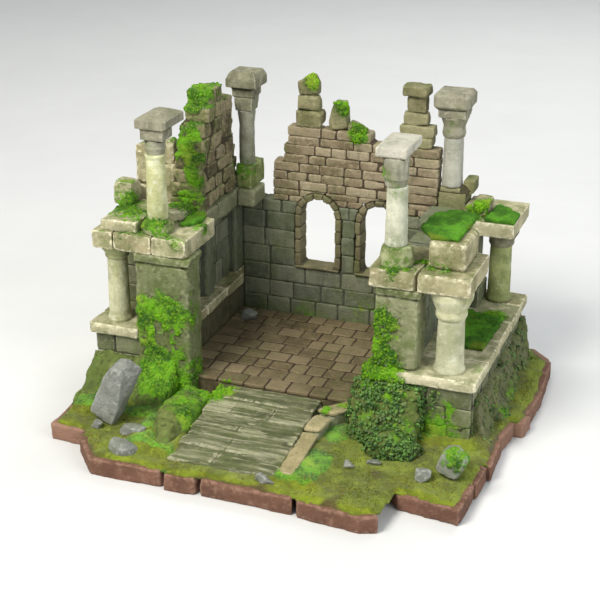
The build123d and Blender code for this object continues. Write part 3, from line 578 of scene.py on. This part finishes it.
ASHLAR = Style()
HALL_WORK = Style(relief=0.3, cuts=2, depth=0.3, bite=0.6, stain=0.4, inset=0.38, mortar=0.7)
SLABS = Style(relief=0.3, depth=0.6, bite=1.1, joints=False)
PIERS = Style(rounding=3, relief=0.6, grain=0.25, cuts=6, depth=1.2, bite=1.2, foot=0.3, stain=0.6,
              joints=False)
SHAFTS = Style(voxel=0.5, relief=0.16, grain=0.08, cuts=2, depth=0.35, bite=1.2, top=0.05, foot=0,
               stain=0.3)
CAPS = Style(voxel=0.5, rounding=1, relief=0.12, grain=0.06, cuts=2, depth=0.45, bite=0.8,
             top=-0.15, foot=0, stain=-0.1)
FEET = Style(voxel=0.5, rounding=3, relief=0.35, grain=0.15, cuts=4, bite=1.2, foot=0, stain=0.9)
COURSES = Style(voxel=0.7, relief=0.35, grain=0.2, cuts=4, top=0.1, foot=0, stain=0.25, inset=0.6)
RUBBLE_WORK = Style(voxel=0.75, rounding=3, relief=0.9, grain=0.35, cuts=6, depth=1, top=0.3,
                    foot=0, stain=0.3, front=0.6, inset=0.9, mortar=0.75)
BROKEN = Style(voxel=0.75, rounding=3, relief=0.45, grain=0.25, cuts=7, depth=1, top=0.3,
               stain=0.4, joints=False)
FLAGS = Style(voxel=0.65, rounding=1, relief=0.16, grain=0.12, cuts=0, bite=0.5, top=-0.14, foot=0,
              stain=0.25, inset=0.3)
STRATA = Style(voxel=0.7, relief=1.1, grain=0.25, layers=(0.25, 1.8, 1.8), cuts=2, depth=0.4,
               top=-0.12, foot=0.1, stain=0.35, inset=0.1, mortar=0.2)
ROCKS = Style(voxel=0.75, relief=0.35, grain=0.2, cuts=10, depth=1.2, top=0, foot=0.1, stain=0.2,
              joints=False)
EARTH = Style(voxel=1, rounding=75, relief=1.7, grain=0.25, cuts=6, depth=2, top=0.15, foot=0.3,
              stain=0.8, fuse=True)
CLIFF = Style(voxel=1, rounding=8, relief=2.6, grain=0.6, layers=(1, 1, 0.7), cuts=4, depth=2,
              top=0.1, foot=0.35, stain=0.6, fuse=True)
PADS = Style(voxel=0.6, rounding=3, relief=0.5, grain=0.5, cuts=0, top=1, foot=1, stain=1,
             joints=False)
RIM = Style(voxel=0.85, rounding=3, relief=0.4, cuts=4, depth=0.8, top=-0.4, foot=-0.3, stain=0.1,
            joints=False)
BARE = Style(relief=0.35, grain=0.2, cuts=4, top=-0.15, foot=-0.4, stain=0.15, joints=False)


# ---- growth ----------------------------------------------------------------------------------
# Where moss is thick: node, fractions of its box, reach in millimetres, strength.
SPOTS = [
    ("left_front_pier", (0.63, 0.05, 0.6), 12, 2.6),
    ("left_front_pier", (0.15, 0.05, 0.62), 11, 1.5),
    ("left_front_pier", (0.2, 0.05, 0.4), 10, 0.9),
    ("left_front_pier", (0.45, 0.05, 0.3), 12, 1.3),
    ("left_front_pier", (0.7, 0.05, 0.08), 14, 1.3),
    ("left_front_pier", (0.9, 0.1, 0.4), 9, 0.7),
    ("left_ruined_wall", (0.6, 0.26, 0.98), 10, 2.2),
    ("left_ruined_wall", (0.35, 0.26, 0.9), 8, 1.5),
    ("left_ruined_wall", (0.65, 0.13, 0.7), 6, 1.2),
    ("left_ruined_wall", (0.6, 0.06, 0.52), 7, 1.7),
    ("left_ruined_wall", (0.65, 0.02, 0.33), 6, 1.6),
    ("left_ruined_wall", (0.2, 0.13, 0.62), 9, 1.5),
    ("left_ruined_wall", (0.5, 0.0, 0.12), 6, 0.7),
    ("left_ruined_wall", (0.75, 0.6, 0.97), 10, 0.7),
    ("left_broken_stones", (0.85, 0.5, 1.0), 7, 1.1),
    ("left_slab_step", (1.0, 0.9, 0.9), 12, 1.3),
    ("left_slab_step", (0.35, 0.4, 1.0), 18, 0.9),
    ("left_slab_step", (0.1, 0.7, 1.0), 10, 0.5),
    ("left_slab", (0.95, 0.6, 1.0), 8, 0.9),
    ("left_slab", (0.85, 0.0, 0.9), 7, 0.6),
    ("left_rear_column_base", (0.5, 0.1, 0.8), 9, 1.0),
    ("left_front_column_base", (0.5, 0.0, 0.0), 8, 0.5),
    ("back_wall_top", (0.13, 0.1, 0.92), 6, 1.8),
    ("back_wall_top", (0.36, 0.2, 0.52), 6, 1.2),
    ("back_wall_top", (0.47, 0.0, 0.2), 7, 1.7),
    ("back_wall_bricks", (0.07, 0.3, 0.72), 4, 0.9),
    ("right_front_pier", (0.25, 0.05, 0.6), 9, 1.4),
    ("right_front_pier", (0.1, 0.05, 0.3), 9, 1.0),
    ("right_front_pier", (0.25, 0.05, 0.05), 12, 1.4),
    ("right_front_pier", (0.7, 0.05, 0.2), 8, 0.5),
    ("right_front_column_base", (0.4, 0.0, 0.1), 7, 0.8),
    ("right_front_column_capital", (0.5, 0.3, 0.2), 12, 0.55),
    ("left_front_column_capital", (0.5, 0.4, 0.1), 10, 0.5),
    ("right_front_column_shaft", (0.5, 0.0, 0.05), 9, 0.55),
    ("left_front_column_shaft", (0.5, 0.0, 0.05), 9, 0.5),
    ("right_rear_column_capital", (0.5, 0.0, 0.2), 9, 0.5),
    ("right_slab", (0.35, 0.35, 1.0), 10, 0.8),
    ("right_slab", (0.65, 0.25, 1.0), 8, 1.2),
    ("right_terrace_block", (0.3, 0.9, 0.6), 8, 0.8),
    ("right_rear_slab", (0.3, 0.25, 1.0), 9, 2.0),
    ("right_podium_cap", (0.8, 0.7, 1.0), 9, 1.5),
    ("right_podium_cap", (0.95, 0.45, 1.0), 8, 0.4),
    ("right_podium_cap", (0.1, 0.0, 0.5), 10, 0.9),
    ("right_podium_ashlar", (0.2, 0.0, 0.6), 15, 0.7),
    ("right_podium_ashlar", (0.8, 0.0, 0.72), 5, 1.1),
    ("right_podium_ashlar", (0.65, 0.0, 0.3), 10, 0.6),
    ("left_podium_ashlar", (0.6, 0.0, 0.5), 10, 0.4),
    ("left_podium_cap", (1.0, 0.3, 1.0), 12, 0.5),
    ("hall_flagstones", (0.03, 0.03, 1.0), 14, 1.2),
    ("stair_treads", (0.02, 0.85, 1.0), 12, 1.5),
    ("stair_treads", (0.0, 0.4, 0.8), 8, 0.8),
    ("left_bank", (0.95, 0.7, 0.6), 12, 0.9),
    ("stair_mound", (0.5, 0.6, 1.0), 12, 0.7),
    ("cheek_wall_coping", (0.5, 0.9, 1.0), 10, 1.5),
    ("cheek_wall_coping", (0.34, 0.77, 0.8), 6, 0.8),
    ("loose_rocks", (0.97, 0.18, 0.4), 8, 1.5),
    ("loose_rocks", (0.95, 0.17, 0.15), 6, 0.5),
]
SPOT_PLACES = [(at(node, fractions), reach, strength) for node, fractions, reach, strength in SPOTS]


def overgrowth(skin, style):
    """Moss and stain for each point of a skin, from its place and the way it faces."""
    points, normals = skin.points, skin.normals()
    patches = rough(points, 9, seed=51)
    facing = ease(normals[:, 2], 0.1, 0.8)
    low = 1 - ease(points[:, 2], GROUND, GROUND + 24)
    moss = 0.5 * patches - 0.1 + style.top * facing + style.foot * low
    uneven = 0.35 * rough(points, 5, seed=57)
    speckled = 0.7 + 0.6 * rough(points, 2.5, seed=59)
    for centre, reach, strength in SPOT_PLACES:
        near = np.linalg.norm(points - centre, axis=1) / (1.3 * reach) + uneven
        moss = moss + strength * (1 - ease(near, 0, 1)) * speckled
    stain = style.stain + 0.5 * rough(points, 16, seed=61) + 0.3 * low + 0.25 * facing
    stain = stain - style.front * normals[:, 1] + 1.2 * ease(moss, -0.1, 0.5)
    return np.clip(moss, 0, 1), np.clip(stain, 0, 1)


def cover(skin, moss):
    """Raises the surface where moss grows on it."""
    depth = ease(moss, 0.38, 0.85) * MOSS_RISE * (0.75 + 0.6 * rough(skin.points, 2.2, seed=71))
    skin.points = skin.points + skin.normals() * depth[:, None]


def ridges(skin):
    """Above 0 on edges that stick out and below 0 in hollows."""
    inward = np.sum((skin.relaxed(2) - skin.points) * skin.normals(), axis=1)
    return np.clip(-inward / 0.12, -1, 1)


def filled_joints(solids, style):
    """The mortar between some stones, and the values of its points."""
    fill = mortar(solids, 1.1 * FINE, style.inset)
    moss, stain = overgrowth(fill, style)
    ones = np.ones(len(fill.points))
    return fill, {"tint": 0.3 * ones, "moss": 0.8 * moss, "stain": stain, "ridge": 0 * ones,
                  "mortar": style.mortar * ones}


def masonry(node, style, material, slot, seed):
    """Replaces a CAD node by worn, stained and mossy stones. Gives back their skin and its moss."""
    solids = solids_of(node)
    if style.fuse:
        solids = [fused(solids, FUSED_GROWTH)]
    skin = remeshed(solids, style.voxel * FINE)
    wear(skin, style, seed)
    tints = np.random.default_rng(seed + 500).uniform(0, 1, len(solids))
    moss, stain = overgrowth(skin, style)
    cover(skin, moss)
    parts = [(skin, {"tint": tints[skin.owner], "moss": moss, "stain": stain,
                     "ridge": ridges(skin), "mortar": np.zeros(len(skin.points))})]
    if style.joints and len(solids) > 1:
        parts.append(filled_joints(solids, style))
    points, quads = merged([part for part, _ in parts])
    values = {key: np.concatenate([own[key] for _, own in parts]) for key in parts[0][1]}
    new_piece(node + "_worn", points, quads, material, [node], values)
    return skin, moss


# ---- scattered growth ------------------------------------------------------------------------
def pebble_shape():
    """A round closed blob, one unit in radius."""
    made = bmesh.new()
    bmesh.ops.create_icosphere(made, subdivisions=2, radius=1.0)
    points = np.array([vertex.co[:] for vertex in made.verts])
    faces = np.array([[vertex.index for vertex in face.verts] for face in made.faces])
    made.free()
    return points, faces


def leaf_shape():
    """A pointed leaf one unit long, folded along its rib, closed and slightly thick."""
    rib = [(0, 0, 0), (0, 0.45, 0.1), (0, 1, -0.12)]
    left = [(-0.34, 0.22, 0.1), (-0.26, 0.68, 0.04)]
    right = [(-x, y, z) for x, y, z in left]
    top = np.array(rib + left + right)
    faces = [(0, 1, 3), (1, 4, 3), (1, 2, 4), (0, 5, 1), (1, 5, 6), (1, 6, 2)]
    loop = [0, 5, 6, 2, 4, 3]
    under = [tuple(7 + corner for corner in reversed(face)) for face in faces]
    rim = []
    for start, end in zip(loop, loop[1:] + loop[:1]):
        rim += [(start, start + 7, end + 7), (start, end + 7, end)]
    return np.concatenate([top, top - [0, 0, 0.05]]), np.array(faces + under + rim)


def blade_shape():
    """A bent three-sided blade of grass, one unit tall along Z."""
    ring = [(math.cos(turn), math.sin(turn)) for turn in (0, 2 * math.pi / 3, 4 * math.pi / 3)]
    points = [(0.1 * x, 0.1 * y, 0) for x, y in ring]
    points += [(0.08 * x + 0.06, 0.08 * y, 0.5) for x, y in ring]
    points.append((0.3, 0, 1))
    faces = [(0, 2, 1), (3, 4, 6), (4, 5, 6), (5, 3, 6)]
    for start in range(3):
        end = (start + 1) % 3
        faces += [(start, end, end + 3), (start, end + 3, start + 3)]
    return np.array(points), np.array(faces)


def scatter(shape, spots, axes, sizes, rng):
    """Copies of a shape at spots. Its Z goes along each spot's axis, with a random turn about it."""
    points, faces = shape
    axes = axes / np.linalg.norm(axes, axis=1)[:, None]
    side = np.cross(axes, rng.normal(size=axes.shape))
    side /= np.maximum(np.linalg.norm(side, axis=1), 1e-9)[:, None]
    other = np.cross(axes, side)
    turned = np.stack([side, other, axes], axis=1)
    placed = np.einsum("pk,nkj->npj", points, turned * sizes[:, None, None]) + spots[:, None, :]
    steps = (np.arange(len(spots)) * len(points))[:, None, None]
    tint = np.repeat(rng.uniform(0, 1, len(spots)), len(points))
    return placed.reshape(-1, 3), (faces[None] + steps).reshape(-1, 3), {"tint": tint}


def pick(points, weights, count, rng):
    """Numbers of points chosen at random, more often where the weights are high."""
    return rng.choice(len(points), count, p=weights / weights.sum())


def joined(beds):
    """The points, normals and values of some skins, each given with one value for each point."""
    points = np.concatenate([skin.points for skin, _ in beds])
    normals = np.concatenate([skin.normals() for skin, _ in beds])
    return points, normals, np.concatenate([values for _, values in beds])


def tufts(name, beds, seed):
    """Small cushions of moss over the mossiest parts of some skins."""
    rng = np.random.default_rng(seed)
    points, normals, moss = joined(beds)
    chosen = pick(points, ease(moss, 0.45, 1) + 1e-9, TUFTS, rng)
    sizes = rng.uniform(0.3, 0.8, TUFTS)
    shape, faces = pebble_shape()
    flat = shape * [1, 1, 0.65]
    placed, triangles, values = scatter((flat, faces), points[chosen], normals[chosen], sizes, rng)
    placed += 0.16 * np.stack([field(placed, 0.7, seed + axis) for axis in range(3)], axis=1)
    new_piece(name, placed, triangles, MOSS, (), values)


def ivy_beds(worn):
    """Where ivy grows: thickly on its own bank, and thinning out over the stones beside it."""
    bank = worn["ivy_and_bush"][0]
    beds = [(bank, ease(rough(bank.points, 6, seed=99), -0.35, 0.3))]
    for node, reach in (("right_podium_ashlar", 26), ("right_front_pier", 16)):
        skin = worn[node][0]
        gap = np.linalg.norm(skin.points - at("ivy_and_bush", (0.5, 0.9, 0.9)), axis=1)
        near = 1 - ease(gap / reach, 0.4, 1)
        beds.append((skin, near * ease(rough(skin.points, 6, seed=97), -0.1, 0.5)))
    rock = worn["right_rock_face"][0]
    beds.append((rock, 0.2 * ease(rough(rock.points, 6, seed=97), -0.1, 0.5)))
    return beds


def leaves(name, beds, seed):
    """Ivy leaves hanging over some skins."""
    rng = np.random.default_rng(seed)
    points, normals, weights = joined(beds)
    chosen = pick(points, weights, LEAVES, rng)
    lean = normals[chosen] + 0.6 * rng.normal(size=(LEAVES, 3)) + [0, 0, 0.3]
    sizes = rng.uniform(1.2, 2.4, LEAVES)
    spots = points[chosen] + normals[chosen] * rng.uniform(0.1, 1.2, LEAVES)[:, None]
    placed, triangles, values = scatter(leaf_shape(), spots, lean, sizes, rng)
    new_piece(name, placed, triangles, LEAF, (), values)


# ---- ground ----------------------------------------------------------------------------------
def outline_sides(scale):
    """The base's outline as sides (start, end), scaled from the outline of the board's top face."""
    points, triangles = solids_of("base_board")[0]
    top = points[:, 2].max() - 0.01
    sides = set()
    for triangle in triangles[np.all(points[triangles][:, :, 2] > top, axis=1)].tolist():
        for start, end in zip(triangle, triangle[1:] + triangle[:1]):
            if (end, start) in sides:
                sides.remove((end, start))
            else:
                sides.add((start, end))
    sides = np.array(sorted(sides))
    return points[sides[:, 0], :2] * scale, points[sides[:, 1], :2] * scale


def inside_by(places, starts, ends):
    """How far places in the plan are inside an outline, below 0 outside it."""
    nearest = np.full(len(places), 1e9)
    crossings = np.zeros(len(places), int)
    for start, end in zip(starts, ends):
        along = end - start
        share = np.clip((places - start) @ along / (along @ along), 0, 1)
        nearest = np.minimum(nearest, np.linalg.norm(places - start - share[:, None] * along, axis=1))
        if abs(along[1]) > 1e-9:
            height = (places[:, 1] - start[1]) / along[1]
            crossings += (height >= 0) & (height < 1) & (start[0] + height * along[0] > places[:, 0])
    return np.where(crossings % 2 == 1, nearest, -nearest)


def outside_by(places, node, grow=0.0):
    """How far places in the plan are outside a node's box, 0 inside it."""
    low, high = box(node)
    gap = np.maximum(low[:2] - grow - places, places - high[:2] - grow)
    return np.linalg.norm(np.clip(gap, 0, None), axis=1)


BANKED_AGAINST = ("left_podium_ashlar", "right_podium_ashlar", "cheek_wall", "back_wall_lower",
                  "left_bank", "stair_mound")
BUILT_ON = ("left_podium_core", "right_podium_core", "hall_floor_bed", "stair_treads",
            "back_wall_lower", "cheek_wall")


def sheet(plan, shape, keep, height, underside):
    """A closed sheet over the kept places of a grid: its top, all its points, its faces, its places."""
    number = np.arange(len(plan)).reshape(shape)
    corners = [number[:-1, :-1], number[1:, :-1], number[1:, 1:], number[:-1, 1:]]
    quads = np.stack(corners, axis=-1).reshape(-1, 4)
    used, quads = np.unique(quads[np.all(keep[quads], axis=1)], return_inverse=True)
    quads = quads.reshape(-1, 4)
    top = np.column_stack([plan, height])[used]
    bottom = np.column_stack([plan, np.full(len(plan), underside)])[used]
    sides = np.concatenate([quads[:, [corner, (corner + 1) % 4]] for corner in range(4)])
    forward = sides[:, 0] * len(used) + sides[:, 1]
    rim = sides[~np.isin(forward, sides[:, 1] * len(used) + sides[:, 0])]
    skirt = np.column_stack([rim[:, 1], rim[:, 0], rim[:, 0] + len(used), rim[:, 1] + len(used)])
    faces = np.concatenate([quads, quads[:, ::-1] + len(used), skirt])
    return top, np.concatenate([top, bottom]), faces, used


def turf():
    """The turf: a rolling sheet, banked up against the walls and thin over the edge stones."""
    board_top = box("base_board")[1][2]
    low, high = box("turf_mat")
    step = 0.9 * FINE
    shape = [int((high[axis] - low[axis]) / step) + 2 for axis in (0, 1)]
    grid = np.stack(np.meshgrid(*map(np.arange, shape), indexing="ij"), axis=-1).reshape(-1, 2)
    plan = low[:2] + grid * step
    flat = np.column_stack([plan, np.zeros(len(plan))])
    banked = np.zeros(len(plan))
    for node in BANKED_AGAINST:
        gap = outside_by(plan, node) + 1.5 * rough(flat, 8, seed=81)
        banked = np.maximum(banked, 1 - ease(gap, 0, 7))
    stairs = outside_by(plan, "stair_treads", -1.5) + 1.2 * rough(flat, 4, seed=83)
    bumps = 0.9 + 0.8 * rough(flat, 13, seed=85) + 0.35 * rough(flat, 3, seed=87) + 2.6 * banked
    inside = inside_by(plan, *outline_sides(high[0] / box("base_board")[1][0]))
    edge = ease(inside + 1.3 * rough(flat, 5, seed=89), 0.3, 3.2)
    height = board_top - 0.25 + edge * (0.9 + bumps * ease(stairs, 0.2, 2.5))
    top, points, faces, used = sheet(plan, shape, inside > 0, height, board_top - 0.6)
    moss = ease(rough(flat, 15, seed=91) + 0.7 * banked, 0.3, 0.9)[used]
    earth = ease(rough(flat, 10, seed=93) + 0.5 * (1 - edge), 0.35, 0.7)[used]
    values = {"moss": np.tile(moss, 2), "earth": np.tile(earth, 2)}
    new_piece("turf", points, faces, TURF, ["turf_mat"], values)
    return top, edge[used]


def grass(top, edge, seed):
    """Short blades of grass over the open turf."""
    rng = np.random.default_rng(seed)
    hidden = np.any([outside_by(top[:, :2], node) <= 0 for node in BUILT_ON], axis=0)
    density = 0.25 + ease(rough(top, 7, seed=95), -0.3, 0.5)
    chosen = pick(top, np.where(hidden, 0, density * edge) + 1e-9, BLADES, rng)
    lean = rng.normal(size=(BLADES, 3)) * 0.35 + [0, 0, 1]
    offsets = [rng.uniform(-0.45, 0.45, (BLADES, 2)), np.full(BLADES, -0.15)]
    spots = top[chosen] + np.column_stack(offsets)
    sizes = rng.uniform(0.7, 1.6, BLADES)
    placed, triangles, values = scatter(blade_shape(), spots, lean, sizes, rng)
    new_piece("grass_blades", placed, triangles, GRASS, (), values)


# ---- stage -----------------------------------------------------------------------------------
def camera():
    """The camera at the photograph's viewing angle. Its places, like the lights', are in metres."""
    data = bpy.data.cameras.new("camera")
    data.lens, data.sensor_width = 84, 36
    eye, target = Vector((0.1996, -0.5444, 0.3057)), Vector((0.00327, -0.01925, 0.06536))
    seen = bpy.data.objects.new("camera", data)
    seen.location = eye
    seen.rotation_euler = (target - eye).to_track_quat("-Z", "Y").to_euler()
    bpy.context.scene.collection.objects.link(seen)
    bpy.context.scene.camera = seen


def softbox(name, place, size, power, colour=(1, 1, 1)):
    data = bpy.data.lights.new(name, "AREA")
    data.shape, data.size, data.energy, data.color = "DISK", size, power, colour
    lamp = bpy.data.objects.new(name, data)
    lamp.location = place
    lamp.rotation_euler = (Vector((0, 0, 0.06)) - Vector(place)).to_track_quat("-Z", "Y").to_euler()
    bpy.context.scene.collection.objects.link(lamp)


def stage():
    """A pale floor under soft studio light."""
    world = bpy.data.worlds.new("studio")
    world.use_nodes = True
    background = world.node_tree.nodes["Background"].inputs
    background["Color"].default_value = (0.9, 0.95, 1, 1)
    background["Strength"].default_value = 0.45
    bpy.context.scene.world = world
    bpy.context.scene.view_settings.view_transform = "Standard"
    softbox("key", (-0.28, -0.62, 0.85), 0.45, 13, (1, 0.97, 0.9))
    softbox("fill", (0.8, -0.35, 0.5), 0.7, 4.5, (0.92, 0.96, 1))
    softbox("back", (0.1, 0.8, 0.8), 0.6, 5)
    half = 4.0
    corners = [(-half, -half, 0), (half, -half, 0), (half, half, 0), (-half, half, 0)]
    mesh = bpy.data.meshes.new("floor")
    mesh.from_pydata(corners, [], [(0, 1, 2, 3)])
    mesh.materials.append(floor_material("studio_floor"))
    floor = bpy.data.objects.new("floor", mesh)
    bpy.context.scene.collection.objects.link(floor)


# ---- everything ------------------------------------------------------------------------------
# Node, style, material and slot. A row's place in the table gives its seed.
STONEWORK = [
    ("left_podium_ashlar", ASHLAR, WALL, "wall_stone"),
    ("right_podium_ashlar", ASHLAR, WALL, "wall_stone"),
    ("left_podium_cap", SLABS, SLAB, "wall_stone"),
    ("right_podium_cap", SLABS, SLAB, "wall_stone"),
    ("left_front_pier", PIERS, PIER, "wall_stone"),
    ("right_front_pier", PIERS, PIER, "wall_stone"),
    ("left_hall_wall", HALL_WORK, HALL, "wall_stone"),
    ("right_hall_wall", HALL_WORK, HALL, "wall_stone"),
    ("left_outer_wall", ASHLAR, WALL, "wall_stone"),
    ("back_wall_lower", HALL_WORK, HALL, "wall_stone"),
    ("back_wall_bricks", COURSES, BRICK, "brick"),
    ("back_wall_top", BROKEN, STUB, "brick"),
    ("window_surrounds", HALL_WORK, SURROUND, "wall_stone"),
    ("left_ruined_wall", RUBBLE_WORK, RUBBLE, "brick"),
    ("left_broken_stones", BROKEN, SLAB, "wall_stone"),
    ("left_slab", SLABS, SLAB, "wall_stone"),
    ("left_slab_step", SLABS, SLAB, "wall_stone"),
    ("left_cornice", SLABS, WALL, "wall_stone"),
    ("right_slab", SLABS, SLAB, "wall_stone"),
    ("right_terrace_block", SLABS, SLAB, "wall_stone"),
    ("right_rear_pier", SLABS, WALL, "wall_stone"),
    ("right_rear_slab", SLABS, SLAB, "wall_stone"),
    ("hall_flagstones", FLAGS, PAVING, "floor_stone"),
    ("stair_treads", STRATA, STEPS, "wall_stone"),
    ("cheek_wall", BARE, WALL, "wall_stone"),
    ("cheek_wall_coping", BARE, COPING, "sand_stone"),
    ("front_edge_stones", RIM, EDGING, "edge_stone"),
    ("left_edge_stones", RIM, EDGING, "edge_stone"),
    ("rear_edge_stones", RIM, EDGING, "edge_stone"),
    ("right_edge_stones", RIM, EDGING, "edge_stone"),
    ("loose_rocks", ROCKS, BOULDER, "rock"),
    ("right_rock_face", CLIFF, ROCK_FACE, "wall_stone"),
    ("left_bank", EARTH, BANK, "turf"),
    ("stair_mound", EARTH, BANK, "turf"),
    ("ivy_and_bush", EARTH, BANK, "foliage"),
    ("moss_pads", PADS, MOSS_SHEET, "moss"),
]
COLUMNS = [
    ("left_front", [("base", FEET, FOOT), ("shaft", SHAFTS, PALE), ("capital", CAPS, MIDDLE_CAP)]),
    ("left_rear", [("base", FEET, FOOT), ("shaft", SHAFTS, SHADED_GREY), ("capital", CAPS, SHADED_DARK_CAP)]),
    ("right_front", [("base", FEET, FOOT), ("shaft", SHAFTS, COLUMN), ("capital", CAPS, CAP)]),
    ("right_rear", [("base", FEET, STUB), ("shaft", SHAFTS, SHADED_GREY), ("capital", CAPS, MIDDLE_CAP)]),
    ("left_lower", [("shaft", SHAFTS, COLUMN), ("head", CAPS, FOOT)]),
    ("right_lower", [("shaft", SHAFTS, COLUMN), ("head", CAPS, COLUMN)]),
    ("rear_lower", [("shaft", SHAFTS, FOOT), ("head", CAPS, SHADED_DARK_CAP)]),
]
for column, parts in COLUMNS:
    for part, style, material in parts:
        STONEWORK.append((f"{column}_column_{part}", style, material, "wall_stone"))

TUFTED = {
    "moss_left": ["left_front_pier", "left_ruined_wall", "left_slab", "left_slab_step",
                  "left_bank", "stair_mound"],
    "moss_back": ["back_wall_top", "back_wall_bricks", "hall_flagstones", "stair_treads"],
    "moss_right": ["right_front_pier", "right_slab", "right_podium_cap", "right_rear_slab"],
}

# The CAD nodes that keep their own shapes, under or inside the rest.
CAD_MATERIALS = {
    "base_board": plain_body("board", (96, 74, 50), (150, 120, 84)),
    "hall_floor_bed": plain_body("floor_bed", (70, 62, 44), (104, 94, 68)),
    "left_podium_core": plain_body("left_core", (74, 72, 52), (100, 98, 76)),
    "right_podium_core": plain_body("right_core", (74, 72, 52), (100, 98, 76)),
    "column_pins": steel_material("steel"),
}

camera()
stage()
for node, material in CAD_MATERIALS.items():
    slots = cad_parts[node].data.materials
    slots.clear()
    slots.append(material)
worn = {}
for number, (node, *how) in enumerate(STONEWORK):
    worn[node] = masonry(node, *how, STONE_SEED + 10 * number)
grass(*turf(), GRASS_SEED)
for number, (name, nodes) in enumerate(TUFTED.items()):
    tufts(name, [worn[node] for node in nodes], TUFT_SEED + number)
leaves("ivy_leaves", ivy_beds(worn), LEAF_SEED)
